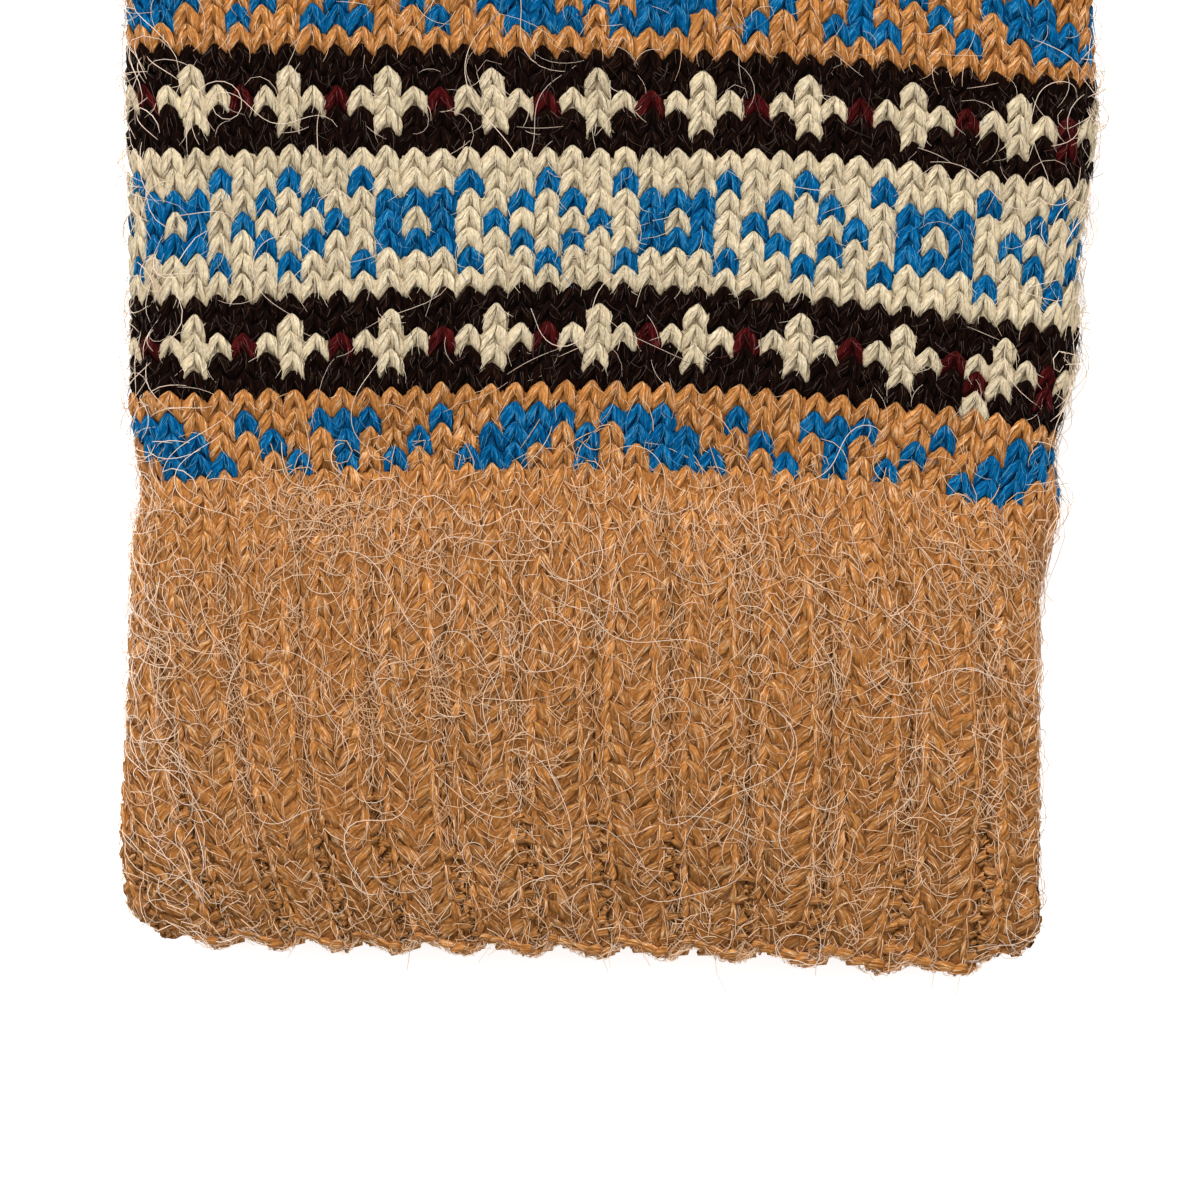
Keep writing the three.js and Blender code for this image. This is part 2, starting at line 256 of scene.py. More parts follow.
class Grid:
    """A table spread over even heights and places across, and read between its four neighbours."""

    def __init__(self, rows, places, heights, across):
        rows = np.array(sorted(rows))
        lines = np.stack([
            smooth_lookup(heights, rows[:, 0], rows[:, i + 1]) for i in range(len(places))
        ], 1)
        self.values = np.stack([smooth_lookup(across, places, line) for line in lines])
        self.low = heights[0], across[0]
        self.step = heights[1] - heights[0], across[1] - across[0]

    def read(self, height, place):
        """The value at a height and place, which stays as it is past the table's sides."""
        last_row, last = np.array(self.values.shape) - 1
        row = np.clip((height - self.low[0]) / self.step[0], 0, last_row)
        at = np.clip((place - self.low[1]) / self.step[1], 0, last)
        i = np.minimum(row.astype(int), last_row - 1)
        j = np.minimum(at.astype(int), last - 1)
        v, u = row - i, at - j
        low = self.values[i, j] * (1 - u) + self.values[i, j + 1] * u
        high = self.values[i + 1, j] * (1 - u) + self.values[i + 1, j + 1] * u
        return low * (1 - v) + high * v


def drop_rows():
    """Row drops by height: the plain sag of the sections, and the wrist's own table."""
    plain = [
        (row[HEIGHT], *sag_at(DROP_AT, row[SAG]))
        for row in HAND_SECTIONS
        if not CUFF_TOP <= row[HEIGHT] < PATTERN_TOP
    ]
    return [*plain, *WRIST_DROPS]


DROPS = Grid(
    drop_rows(), DROP_AT, np.arange(-4, THUMB_LINE + 6, 1.0), np.arange(-SAG_END, SAG_END + 1, 1.0)
)
DRIFT = Grid(DRIFTS, DRIFT_AT, np.arange(-4, 116, 1.0), np.arange(FIRST, LAST + 1, 1.0))


class Tube:
    """A flattened tube of knitting. Its surface is a function of a column and a height.

    No stitch reaches below its lowest height.
    """

    lowest = -9.0

    def sections(self, height):
        """Left, right and side depth of the outline at a height, and how high it is lifted."""
        raise NotImplementedError

    def ring_length(self, height):
        """Distance round the outline: two flat sides and a full circle."""
        left, right, side, _ = self.sections(height)
        return 2 * (right - left - side) + math.pi * side

    def outline(self, run, left, right, side, lifted):
        """X, Z and share of the crown at a distance round the outline from X = 0 on the back.

        The outline is a straight back, a half circle down, a straight palm and a half circle up.
        """
        radius = side / 2
        turn = math.pi * radius
        flat = right - left - side
        run = np.mod(run - (left + radius) + turn, 2 * (flat + turn))
        up = run / np.maximum(radius, 1e-6)
        down = (run - turn - flat) / np.maximum(radius, 1e-6)
        parts = [run < turn, run < turn + flat, run < 2 * turn + flat]
        x = np.select(
            parts,
            [
                left + radius - radius * np.sin(math.pi - up),
                left + radius + run - turn,
                right - radius + radius * np.sin(down),
            ],
            right - radius - (run - 2 * turn - flat),
        )
        rise = np.select(parts, [-np.cos(up), np.ones_like(run), np.cos(down)], -1.0)
        return x, radius * (1 + rise) + lifted, (1 + rise) / 2

    def surface(self, column, height):
        """The point of the knitting at a column and a height."""
        raise NotImplementedError

    def place(self, column, height, lift=0.0):
        """Points raised off the surface by lift along its normal, found from small steps on it."""
        column, height, lift = np.broadcast_arrays(column, height, lift)
        step = 0.03
        east = self.surface(column + step, height) - self.surface(column - step, height)
        north = self.surface(column, height + step) - self.surface(column, height - step)
        normal = np.cross(east, north)
        normal /= np.maximum(np.linalg.norm(normal, axis=-1, keepdims=True), 1e-9)
        return self.surface(column, height) + normal * lift[..., None]


class HandTube(Tube):
    """The cuff, wrist and palm, or the knuckles. On the back each column has its own drift."""

    lowest = -0.4

    def __init__(self, sections, palm_columns=PALM_COLUMNS, ribbed=True):
        self.table = sections
        self.palm_columns = palm_columns
        self.ribbed = ribbed

    def read(self, height, name):
        """A column of the sections' table at a height."""
        return smooth_lookup(height, self.table[:, HEIGHT], self.table[:, name])

    def sections(self, height):
        """The outline from the table. It lies on the floor, so it isn't lifted."""
        left, right, side = (self.read(height, name) for name in (LEFT, RIGHT, SIDE))
        return left, right, side, 0.0

    def back_start(self, height):
        """The first column on the back. It moves out with the gusset above the pattern."""
        left, _, side, _ = self.sections(height)
        grown = WRIST_LEFT - left + (FULL_SIDE - side) * SIDE_GAIN
        return FIRST - np.where(height > PATTERN_TOP, np.maximum(grown, 0) / GUSSET_COLUMN, 0)

    def back_run(self, column, height):
        """Distance round the back from X = 0 to a column: even steps and their drift."""
        return GROOVE_X + COLUMN_WIDTH * column + DRIFT.read(height, column)

    def palm_length(self, height):
        """The distance round the palm side from the back's last column to its first."""
        start = self.back_run(self.back_start(height), height)
        return self.ring_length(height) + start - self.back_run(LAST + 0 * height, height)

    def palm_end(self, height):
        """The last column on the palm side, where the round closes on the first."""
        grown = self.palm_length(height) / GUSSET_COLUMN
        return LAST + np.where(height > PATTERN_TOP, grown, self.palm_columns)

    def run(self, column, height):
        """Distance round the outline to a column: by the drifts on the back, even on the palm.

        The ribs pull their sunk columns narrow, which shifts the others along a sine.
        """
        step = self.palm_length(height) / (self.palm_end(height) - LAST)
        end = self.back_run(LAST + 0 * height, height)
        even = np.where(column <= LAST, self.back_run(column, height), end + (column - LAST) * step)
        if not self.ribbed:
            return even
        pinch = RIB_PINCH * np.minimum(self.read(height, RIB_DEPTH), 1)
        return even - pinch * np.sin((column - SUNK_COLUMN) * 2 * math.pi / RIB_COLUMNS)

    def column_width(self, column, height):
        """Distance between the two edges of a column."""
        return self.run(column + 0.5, height) - self.run(column - 0.5, height)

    def surface(self, column, height):
        """The outline with its crown, sunk between the ribs and cut into scallops at the hem.

        The crown is a parabola across the back. The ribs sink in Z on the back and palm, and in
        X towards the sides as a fifth power. The hem's corners rise as a square.
        """
        left, right, side, lifted = self.sections(height)
        x, z, top = self.outline(self.run(column, height), left, right, side, lifted)
        crown = np.maximum(0, 1 - ((x - CROWN_MIDDLE) / CROWN_HALF) ** 2)
        z = z + top * crown * self.read(height, CROWN) + (1 - top) * PALM_RISE
        sunk, notch = self.rib(column)
        depth = self.read(height, RIB_DEPTH) * (sunk if self.ribbed else MEAN_SUNK)
        half = (right - left) / 2
        middle = (left + right) / 2
        tall = (side + self.read(height, CROWN)) / 2
        x = x - depth * np.clip((x - middle) / half, -1, 1) ** 5
        z = z - depth * np.clip((z - tall) / tall * 2, -1, 1)
        hem = self.read(height, HEM_SHARE)
        reach = np.abs(x - middle) / half
        corner = np.where(x < middle, *HEM_CORNERS)
        start = np.where(x < middle, *HEM_CORNER_STARTS)
        edge = np.clip((reach - start) / (1 - start), 0, 1.2) ** 2
        notch = np.maximum(notch, HEM_BACK * (1 - top))
        raised = HEM_NOTCH * notch - HEM_SLOPE * x + corner * edge
        y = height - self.drop(height, x) + hem * raised
        return np.stack((x, y, z), -1)

    def drop(self, height, x):
        """How far the row at a height hangs below it at X."""
        if self.table is HAND_SECTIONS:
            return DROPS.read(height, x)
        return sag_at(np.minimum(x, SAG_END), self.read(height, SAG))

    @staticmethod
    def rib(column):
        """How far a column is sunk in its rib, and its share of the hem's notch."""
        at = np.mod(column, RIB_COLUMNS)
        return [np.interp(at, RIB[:, 0], RIB[:, i]) for i in (1, 2)]


def finger_line(x):
    """Height of the line that the fingers start from."""
    return FINGER_LINE - sag_at(np.minimum(x, SAG_END), SAG_HIGH)


def thumb_line(x):
    """Height of the line that the thumb starts from, the same at every X."""
    return THUMB_LINE + 0 * x


class DigitTube(Tube):
    """A thumb or finger: a leaning tube that closes on an elliptical tip.

    Its height is measured along the skin from its base. Past the start of the tip the skin turns
    over a quarter ellipse, so that the height goes on to the pole. Its count of columns is set
    row by row.
    """

    def __init__(self, left, right, length, lean, tip_width, side, line):
        self.left, self.right, self.length, self.lean = left, right, length, lean
        self.tip_width, self.side, self.line = tip_width, side, line
        self.bend = length - TIP_LENGTH
        self.skin_length = self.bend + TIP_LENGTH * math.pi / 2
        self.count = 1.0

    def along_and_round(self, height):
        """Distance along the digit at a height, and the share of the width left by the tip."""
        turned = np.clip((height - self.bend) / TIP_LENGTH, 0, math.pi / 2)
        along = np.minimum(height, self.bend) + TIP_LENGTH * np.sin(turned)
        return along, np.cos(turned)

    def sections(self, height):
        """The outline: even between the width of the base and that of the tip, then rounded off.

        It leans aside evenly, and a tip that loses depth is lifted to stay at mid-height.
        """
        along, rounding = self.along_and_round(height)
        share = along / self.length
        width = (self.right - self.left) * (1 - share) + self.tip_width * share
        side = self.side * (TIP_SHARE + (1 - TIP_SHARE) * rounding)
        half = np.maximum(width / 2 * rounding, 0.05)
        side = np.minimum(side, 2 * half)
        middle = (self.left + self.right) / 2 + self.lean * along
        return middle - half, middle + half, side, (self.side - side) / 2

    def columns(self, height):
        """Stitches round the tube: fewer where it is narrow, and always an even number."""
        return 2 * np.maximum(3, np.round(self.ring_length(height) / STITCH_WIDTH / 2))

    def column_width(self, column, height):
        """The same all round: the distance round the tube shared out among its columns."""
        return self.ring_length(height) / self.columns(height)

    def surface(self, column, height):
        """The outline with its crown, a parabola across the back.

        The Y goes evenly from the base line, read where the digit stands without its lean, to
        one height for the whole tip.
        """
        left, right, side, lifted = self.sections(height)
        middle = (left + right) / 2
        half = np.maximum((right - left) / 2, 1e-3)
        run = column * self.ring_length(height) / self.count + middle
        x, z, top = self.outline(run, left, right, side, lifted)
        crown = np.maximum(0, 1 - ((x - middle) / half) ** 2)
        z = z + DIGIT_CROWN * top * crown + (1 - top) * PALM_RISE
        along, _ = self.along_and_round(height)
        share = along / self.length
        centre = (self.left + self.right) / 2
        base = self.line(x - self.lean * along) + SEAT
        y = (1 - share) * base + share * (self.line(centre) + self.length)
        return np.stack((x, y, z), -1)


# Strands: many short tubes with closed ends, held as arrays and joined into one mesh. Each
# strand's UV is shifted, and wrapped round and along, in millimetres
UV_SHIFT = 7.31
UV_PILE_SHIFT = 0.013
UV_SLANT = 1.7
UV_WRAP_ROUND = 91
UV_WRAP_ALONG = 83


class Strands:
    """A growing pile of meshes, each an array of points, loops and values, put down at once."""

    def __init__(self):
        self.points, self.loops, self.starts = [], [], []
        self.tones, self.depths, self.uvs = [], [], []
        self.size, self.corners = 0, 0

    def add(self, rings, ends, around, along, tone, depth, end_depths):
        """Tubes through rings of points, tube by ring by side, with a pole at each end.

        The corners' UV is the way round and the way along in millimetres, shifted by strand so
        that no two carry the same fibres.
        """
        count, steps, sides = rings.shape[:3]
        loops, starts, round_share, along_share = tube_faces(steps, sides)
        size = steps * sides + 2
        points = np.concatenate((rings.reshape(count, -1, 3), ends), axis=1)
        self.points.append(points.reshape(-1, 3))
        offsets = self.size + np.arange(count)[:, None] * size
        self.loops.append((loops[None] + offsets).ravel())
        corners = self.corners + np.arange(count)[:, None] * len(loops)
        self.starts.append((starts[None] + corners).ravel())
        shift = np.arange(count)[:, None] * UV_SHIFT + self.size * UV_PILE_SHIFT
        u = round_share[None] * np.reshape(around, (-1, 1)) + np.mod(shift, UV_WRAP_ROUND)
        v = along_share[None] * np.reshape(along, (-1, 1)) + np.mod(shift * UV_SLANT, UV_WRAP_ALONG)
        self.uvs.append(np.stack(np.broadcast_arrays(u, v), -1).reshape(-1, 2))
        self.tones.append(np.repeat(tone, size))
        shade = np.concatenate((depth.reshape(count, -1), end_depths), axis=1)
        self.depths.append(shade.ravel())
        self.size += count * size
        self.corners += count * len(loops)

    def put(self, name):
        """Makes one mesh object of the pile, with its fibre UV, its tone and its depth for painted
        shade.
        """
        points = (np.concatenate(self.points) + ORIGIN) * MM
        loops, starts = np.concatenate(self.loops), np.concatenate(self.starts)
        mesh = new_mesh(name, points, loops, starts)
        layer = mesh.uv_layers.new(name="fibres")
        layer.uv.foreach_set("vector", np.concatenate(self.uvs).astype(np.float32).ravel())
        for label, values in (("tone", self.tones), ("depth", self.depths)):
            values = np.concatenate(values).astype(np.float32)
            mesh.attributes.new(label, "FLOAT", "POINT").data.foreach_set("value", values)
        return link(name, mesh)


def tube_faces(steps, sides):
    """Corners of a tube's faces: quads between its rings, and a fan round the pole at each end.

    Gives the corners' points, where each face starts, and the corners' shares of the way round
    and of the way along.
    """
    ring, side = np.meshgrid(np.arange(steps - 1), np.arange(sides), indexing="ij")
    after = (side + 1) % sides
    quads = np.stack((
        ring * sides + side,
        (ring + 1) * sides + side,
        (ring + 1) * sides + after,
        ring * sides + after,
    ), -1).reshape(-1)
    shares = np.stack((side, side, side + 1, side + 1), -1).reshape(-1) / sides
    lengths = np.stack((ring, ring + 1, ring + 1, ring), -1).reshape(-1) / max(steps - 1, 1)
    turn = np.arange(sides)
    following = (turn + 1) % sides
    pole = np.full(sides, steps * sides)
    last = (steps - 1) * sides
    first_fan = np.stack((pole, turn, following), -1).reshape(-1)
    last_fan = np.stack((pole + 1, last + following, last + turn), -1).reshape(-1)
    fan_shares = np.stack((turn + 0.5, turn, turn + 1), -1).reshape(-1) / sides
    back_shares = np.stack((turn + 0.5, turn + 1, turn), -1).reshape(-1) / sides
    near = np.tile((-0.1, 0, 0), sides)
    far = np.tile((1.1, 1, 1), sides)
    loops = np.concatenate((quads, first_fan, last_fan))
    starts = np.concatenate((
        np.arange(0, len(quads), 4),
        len(quads) + np.arange(0, 6 * sides, 3),
    ))
    round_share = np.concatenate((shares, fan_shares, back_shares))
    along_share = np.concatenate((lengths, near, far))
    return loops, starts, round_share, along_share


def new_mesh(name, points, loops, starts):
    """A smooth mesh from its points, its faces' corners and where each face starts."""
    mesh = bpy.data.meshes.new(name)
    mesh.vertices.add(len(points))
    mesh.vertices.foreach_set("co", points.astype(np.float32).ravel())
    mesh.loops.add(len(loops))
    mesh.loops.foreach_set("vertex_index", loops.astype(np.int32))
    mesh.polygons.add(len(starts))
    mesh.polygons.foreach_set("loop_start", starts.astype(np.int32))
    mesh.update(calc_edges=True)
    mesh.shade_smooth()
    return mesh


def link(name, mesh):
    """Puts a mesh into the scene as an object at the origin."""
    piece = bpy.data.objects.new(name, mesh)
    bpy.context.scene.collection.objects.link(piece)
    return piece


def dress(piece, material, slot, *nodes):
    """Gives a piece its material, lets it ride on the glove, and hides what it replaces. Its slot is
    not used.
    """
    piece.data.materials.append(material)
    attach(piece, BODY)
    if nodes:
        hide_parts(*nodes)
    return piece


# Stitches. The shares of the way along a leg that carry a ring, and the turns round each ring:
# FULL for legs that the camera sees, PLAIN for the others
FULL = (np.array((0.0, 0.22, 0.48, 0.74, 0.95)), np.radians((0, 70, 145, 215, 290)))
PLAIN = (np.array((0.08, 0.48, 0.9)), np.radians((0, 120, 240)))
POLES = np.array((-0.06, 1.06))
LEG_SHAPE = np.array((
    # share of the way along, share of the full width
    (-0.1, 0.05),
    (0.0, 0.3),
    (0.22, 0.78),
    (0.48, 1.0),
    (0.74, 0.96),
    (0.95, 0.6),
    (1.06, 0.2),
))
WIDEST = 2.75

# A leg in columns aside, in rows down, and in its lift off the surface. LEG_HALF is half its
# width as a share of a column, and USUAL_HALF what that comes to in millimetres
LEG_START = 0.042
LEG_END = 0.45
LEG_BOW = 0.35
LEG_DROP = 1.46
LEG_HALF = 0.25
USUAL_HALF = 0.7
LEG_THICKNESS = 0.42
APEX_RISE = 0.23
APEX_LIFT = 0.28
TIP_FALL = 0.6
TIP_POWER = 1.3

# What a lean does to the end and to the width of the leg that it leaves behind
LEAN_REACH = 1.2
LEAN_SWELL = 0.16

# Size of the fibres' UV on a leg: round it in millimetres, and along it in rows
LEG_ROUND = 3.9
LEG_ALONG = 1.6

# Lifts that get the full painted crevice shade, as the deepest yarn, and none, as the topmost
# yarn, and the tone of the plain stitches, lighter because no pale hairs lie over them
FULL_SHADE_LIFT = -0.5
NO_SHADE_LIFT = 0.8
PLAIN_TONE = 3.5


def leg_line(legs, t):
    """Middle of a leg, t of the way along: columns aside, fall from the apex and lift.

    It runs down and, on a parabola that flattens out, aside. It dips behind the next stitch as t to
    the power TIP_POWER.
    """
    span = (legs["end"] - legs["start"])[:, None]
    offset = legs["start"][:, None] + span * t * (1 + LEG_BOW - LEG_BOW * t)
    fall = -LEG_DROP * legs["row"][:, None] * t
    lift = APEX_LIFT - TIP_FALL * np.maximum(t, 0) ** TIP_POWER + 0 * offset
    return offset, fall, lift


def leg_frame(tube, legs):
    """Steps of a unit length across and along a leg, as pairs of columns aside and height."""
    pitch = tube.column_width(legs["column"], legs["height"])[:, None]
    slant = (legs["end"] - legs["start"])[:, None] * pitch
    steep = -LEG_DROP * legs["row"][:, None]
    length = np.hypot(slant, steep)
    return (-steep / length / pitch, slant / length), (slant / length / pitch, steep / length)


def leg_width(legs, t):
    """Half the width of a leg, t of the way along."""
    return legs["half"][:, None] * np.interp(t, LEG_SHAPE[:, 0], LEG_SHAPE[:, 1])


def leg_thickness(legs, t):
    """Half the thickness of a leg, which tapers less than its width does."""
    share = np.interp(t, LEG_SHAPE[:, 0], LEG_SHAPE[:, 1] ** 0.6)
    return LEG_THICKNESS * (legs["half"] / USUAL_HALF)[:, None] * share


def shade_depth_of(lift):
    """The depth value of a lift for painted shade: 0 for the deepest yarn, 1 for the topmost."""
    return np.clip((lift - FULL_SHADE_LIFT) / (NO_SHADE_LIFT - FULL_SHADE_LIFT), 0, 1)


def add_legs(strands, tube, shape, random, legs, tones):
    """Adds stitch legs, tapered rods that are the two sides of roof-shaped stitches."""
    way, turns = shape
    count = len(legs["column"])
    side = legs["side"][:, None, None]
    offset, fall, lift = leg_line(legs, way[None])
    (across, rise), _ = leg_frame(tube, legs)
    swell = 1 + random.normal(0, 0.14, (count, len(way), 1))
    width = leg_width(legs, way)[..., None] * np.sin(turns) * swell
    thick = leg_thickness(legs, way)[..., None] * np.cos(turns) * swell
    bump = random.normal(0, 0.06, (count, 1, 1))
    columns = legs["column"][:, None, None] + side * offset[..., None] + width * across[..., None]
    heights = legs["height"][:, None, None] + fall[..., None] + side * width * rise[..., None]
    lifts = lift[..., None] + bump + thick
    offset, fall, lift = leg_line(legs, POLES[None])
    ends = tube.place(
        legs["column"][:, None] + side[..., 0] * offset,
        np.maximum(legs["height"][:, None] + fall, tube.lowest),
        lift + bump[..., 0],
    )
    rings = tube.place(columns, np.maximum(heights, tube.lowest), lifts)
    around, along = LEG_ROUND * legs["half"] / USUAL_HALF, legs["row"] * LEG_ALONG
    # The depth values set each point's painted crevice shade, from its lift
    strands.add(rings, ends, around, along, tones, shade_depth_of(lifts), shade_depth_of(lift))


def make_legs(tube, random, column, height, row, lean=None):
    """The left and then the right legs of whole stitches, each a little different.

    lean moves an apex sideways and stretches the leg it leaves behind, as in the ribs.
    """
    count = len(column)
    column = np.asarray(column, float)
    height, row = np.broadcast_to(height, count), np.broadcast_to(row, count)
    lean = np.zeros(count) if lean is None else lean
    pitch = np.minimum(tube.column_width(column, height), WIDEST)
    centre = column + lean + random.normal(0, 0.022, count)
    apex = height + APEX_RISE * row + random.normal(0, 0.09, count)
    sides = []
    for side in (-1.0, 1.0):
        stretch = -side * lean
        sides.append({
            "column": centre,
            "height": apex,
            "row": row * random.normal(1, 0.04, count),
            "side": np.full(count, side),
            "start": LEG_START + random.normal(0, 0.012, count),
            "end": LEG_END + LEAN_REACH * stretch + random.normal(0, 0.025, count),
            "half": pitch * (LEG_HALF + LEAN_SWELL * stretch) * random.normal(1, 0.06, count),
        })
    return {name: np.concatenate([legs[name] for legs in sides]) for name in sides[0]}


def add_stitches(strands, tube, shape, random, column, height, row, lean=None, tone=0.0):
    """Adds whole stitches and gives their legs. tone is one for all, or a row for each side."""
    legs = make_legs(tube, random, column, height, row, lean)
    tones = (random.normal(0, 0.5, len(column)) + tone + np.zeros((2, 1))).ravel()
    add_legs(strands, tube, shape, random, legs, tones + random.normal(0, 0.4, len(tones)))
    return legs


def add_fibres(strands, tube, random, legs, each, length, radius):
    """Adds short fibres that lie along stitch legs and part from them at their ends.

    Each starts on a leg's skin and bends aside as a parabola, while it rises a little.
    """
    legs = {name: np.repeat(values, each) for name, values in legs.items()}
    count = len(legs["column"])
    start = random.uniform(0.0, 0.75, (count, 1))
    aside = random.uniform(-0.9, 0.9, (count, 1))
    reach = random.gamma(5.0, length / 5, (count, 1))
    turn = random.normal(0, 0.2, (count, 1))
    bend = random.normal(0, 0.4, (count, 1))
    t = np.linspace(0, 1, 4)[None]
    offset, fall, lift = leg_line(legs, start)
    (across, rise), (along, drop) = leg_frame(tube, legs)
    width = leg_width(legs, start) * aside
    ahead = reach * t * np.cos(turn)
    sway = width + reach * t * np.sin(turn) + reach * bend * t * t
    side = legs["side"][:, None]
    columns = legs["column"][:, None] + side * (offset + ahead * along) + sway * across
    heights = legs["height"][:, None] + fall + ahead * drop + side * sway * rise
    skin = lift + leg_thickness(legs, start) * np.sqrt(1 - aside * aside)
    rise_end = random.uniform(0.05, 0.55, (count, 1))
    lifts = skin + 0.02 + rise_end * t ** 1.2
    path = tube.place(columns, heights, lifts)
    taper = radius * random.uniform(0.7, 1.2, (count, 1)) * (1.0 - 0.6 * t)
    add_hair_tubes(strands, random, path, taper, reach[:, 0])


# Where a bump's poles lie, as a share of its reach, and its girth as a multiple of its thickness
BUMP_END = 1.15
BUMP_ROUND = 7.2


def add_bumps(
    strands, tube, random, column, height, row,
    reach, lift, thick, tilt, slack, low, tone, sides=4,
):
    """Adds sideways bumps, such as purl stitches: short arcs across a column, highest mid-way.

    A bump reaches so many columns aside and is thick in its middle. Its arc, its rise and its
    taper to either side are all the same cosine. slack is how far bumps stray and tilt at random.
    """
    way = np.linspace(-1, 1, 5)
    arch = np.cos(way * math.pi / 2)
    turns = np.arange(sides) * 2 * math.pi / sides
    count = len(column)
    pitch = tube.column_width(column, height)
    offset = reach * way
    arc = 0.24 * arch - 0.12
    fat = thick * (0.55 + 0.45 * arch)
    jitter = random.normal(0, slack / 2, (count, 1, 1))
    slope = tilt + random.normal(0, slack, (count, 1))
    columns = column[:, None, None] + offset[None, :, None] + 0 * turns
    heights = (
        height[:, None, None] + (row[:, None] * arc + slope * way)[..., None]
        + fat[None, :, None] * np.sin(turns) + jitter
    )
    lifts = lift + 0.35 * arch[None, :, None] + fat[None, :, None] * np.cos(turns) + 0 * columns
    rings = tube.place(columns, np.maximum(heights, low), lifts)
    poles = np.array((-BUMP_END, BUMP_END))
    end_heights = height[:, None] - 0.16 * row[:, None] + slope * poles
    ends = tube.place(column[:, None] + poles * reach, np.maximum(end_heights, low), lift)
    around, along = BUMP_ROUND * thick + 0 * pitch, 2 * reach * pitch
    tones = random.normal(tone, 0.6, count)
    # Painted crevice shade from each point's lift over the bump's own, and a fixed amount at its poles
    depth = shade_depth_of(lifts - lift + 0.1)
    strands.add(rings, ends, around, along, tones, depth, np.full((count, 2), 0.3))


def pattern_chart():
    """The yarn of each stitch of the patterned wrist, row by row from the cuff, once round.

    Rows 0 to 2 and 22 to 24 carry waves, mirrored every 10 columns. Stars stand every 4 columns on
    the dark bands, and diamonds every 10 on the cream one.
    """
    chart = np.full((PATTERN_ROWS, CHART_ROUND), CAMEL)
    k = np.arange(CHART_ROUND)
    wave = np.abs(np.mod(k - 2 + 10, 20) - 10)
    for row, line in enumerate(WAVES):
        blue = np.array([mark == "B" for mark in line])[wave]
        for at in (2 - row, 22 + row):
            chart[at][blue] = BLUE
    for first in (4, 16):
        chart[first:first + 5] = DARK
        star = np.mod(k + 2, 4) - 2
        chart[first + 1:first + 4, star == 0] = CREAM
        chart[first + 2, np.abs(star) == 1] = CREAM
        chart[first + 2, np.abs(star) == 2] = RED
    chart[9:16] = CREAM
    aside = np.abs(np.mod(k + 5, 10) - 5)
    for rows, blue in (
        ((10, 14), (aside == 0) | (aside == 3)),
        ((11, 13), (aside == 1) | (aside == 4) | (aside == 5)),
        ((12,), (aside == 2) | (aside == 4)),
    ):
        for row in rows:
            chart[row][blue] = BLUE
    # Where the rounds begin, near the little finger's edge, a few stitches are out of turn
    for row, place, yarn in ((4, 27, CREAM), (5, 27, RED), (5, 30, RED), (17, 30, RED), (18, 30, RED)):
        chart[row, place] = yarn
    return chart


def chart_column(column):
    """The chart's column that is knitted at a column of the glove."""
    return np.mod(np.round(column + CHART_SHIFT), CHART_ROUND).astype(int)


# Shells under the stitches, from a lift down to another inside the solid's skin
CUFF_WEB = (0.1, -2.1)
WRIST_WEB = (-0.15, -2.1)
HAND_WEB = (-0.3, -2.1)
DIGIT_WEB = (-0.3, -1.9)
DIGIT_SIDES = 36


def add_shell(name, tube, columns, heights, web):
    """A hollow wall: up its outer skin, down its inner one and closed round both ends."""
    column = np.broadcast_to(columns, (len(heights), np.shape(columns)[-1]))
    out, inside = [tube.place(column, heights[:, None], lift) for lift in web]
    rings = np.concatenate((out, inside[::-1]))
    steps, sides = rings.shape[:2]
    ring, side = np.meshgrid(np.arange(steps), np.arange(sides), indexing="ij")
    following, after = (ring + 1) % steps, (side + 1) % sides
    loops = np.stack((
        ring * sides + side,
        ring * sides + after,
        following * sides + after,
        following * sides + side,
    ), -1)
    points = (rings.reshape(-1, 3) + ORIGIN) * MM
    mesh = new_mesh(name, points, loops.reshape(-1), np.arange(0, loops.size, 4))
    layer = mesh.uv_layers.new(name="fibres")
    along = np.concatenate((heights, heights[::-1]))
    u = np.stack((side, side + 1, side + 1, side), -1) * STITCH_WIDTH
    v = np.stack((along[ring], along[ring], along[following], along[following]), -1)
    layer.uv.foreach_set("vector", np.stack((u, v), -1).astype(np.float32).ravel())
    return link(name, mesh)


def add_closed_shell(name, tube, columns, heights, web):
    """A hollow wall that closes over a tip: down its outer skin, round its edge and up inside."""
    out, inside = [tube.place(columns, heights[:, None], lift) for lift in web]
    rings = np.concatenate((out[::-1], inside))[None]
    tips = np.stack([skin[-1].mean(0) for skin in (out, inside)])[None]
    shell = Strands()
    depth = np.full(rings.shape[:3], 0.1)
    around = np.array((len(columns) * 2.0,))
    shell.add(rings, tips, around, 2 * np.ptp(heights)[None], np.zeros(1), depth, depth[:, 0, :2])
    return shell.put(name)


def colour_corners(piece, colours):
    """Gives a shell one colour, or its four-cornered faces one each, kept at their corners."""
    layer = piece.data.color_attributes.new("yarn", "FLOAT_COLOR", "CORNER")
    rgba = np.ones((len(piece.data.loops), 4), np.float32)
    rgba[:, :3] = np.repeat(colours, 4, axis=0) if np.ndim(colours) == 2 else colours
    layer.data.foreach_set("color", rgba.ravel())


# Hairs. They stay between HAIR_LOW below the hem and HAIR_TOP, and HAIR_COLUMN is what they
# cover aside to a column. The tufts' sizes are in columns and in height, GUTTER is where a rib's
# sunk column lies, and HEM the heights that the hem's fuzz starts from. Most long hairs start
# below LONG_HAIR_LINE
HAIR_LOW = 1.1
HAIR_TOP = 104
HAIR_COLUMN = 2.62
TUFTS = 60
TUFT_SIZE = (1.1, 2.8)
GUTTER = 1.55
HEM = (-0.2, 1.2)
LONG_HAIR_LINE = 50

# A direction that no hair runs along, from which each hair's own upward one is found
HAIR_UP = (0.13, 0.21, 0.97)


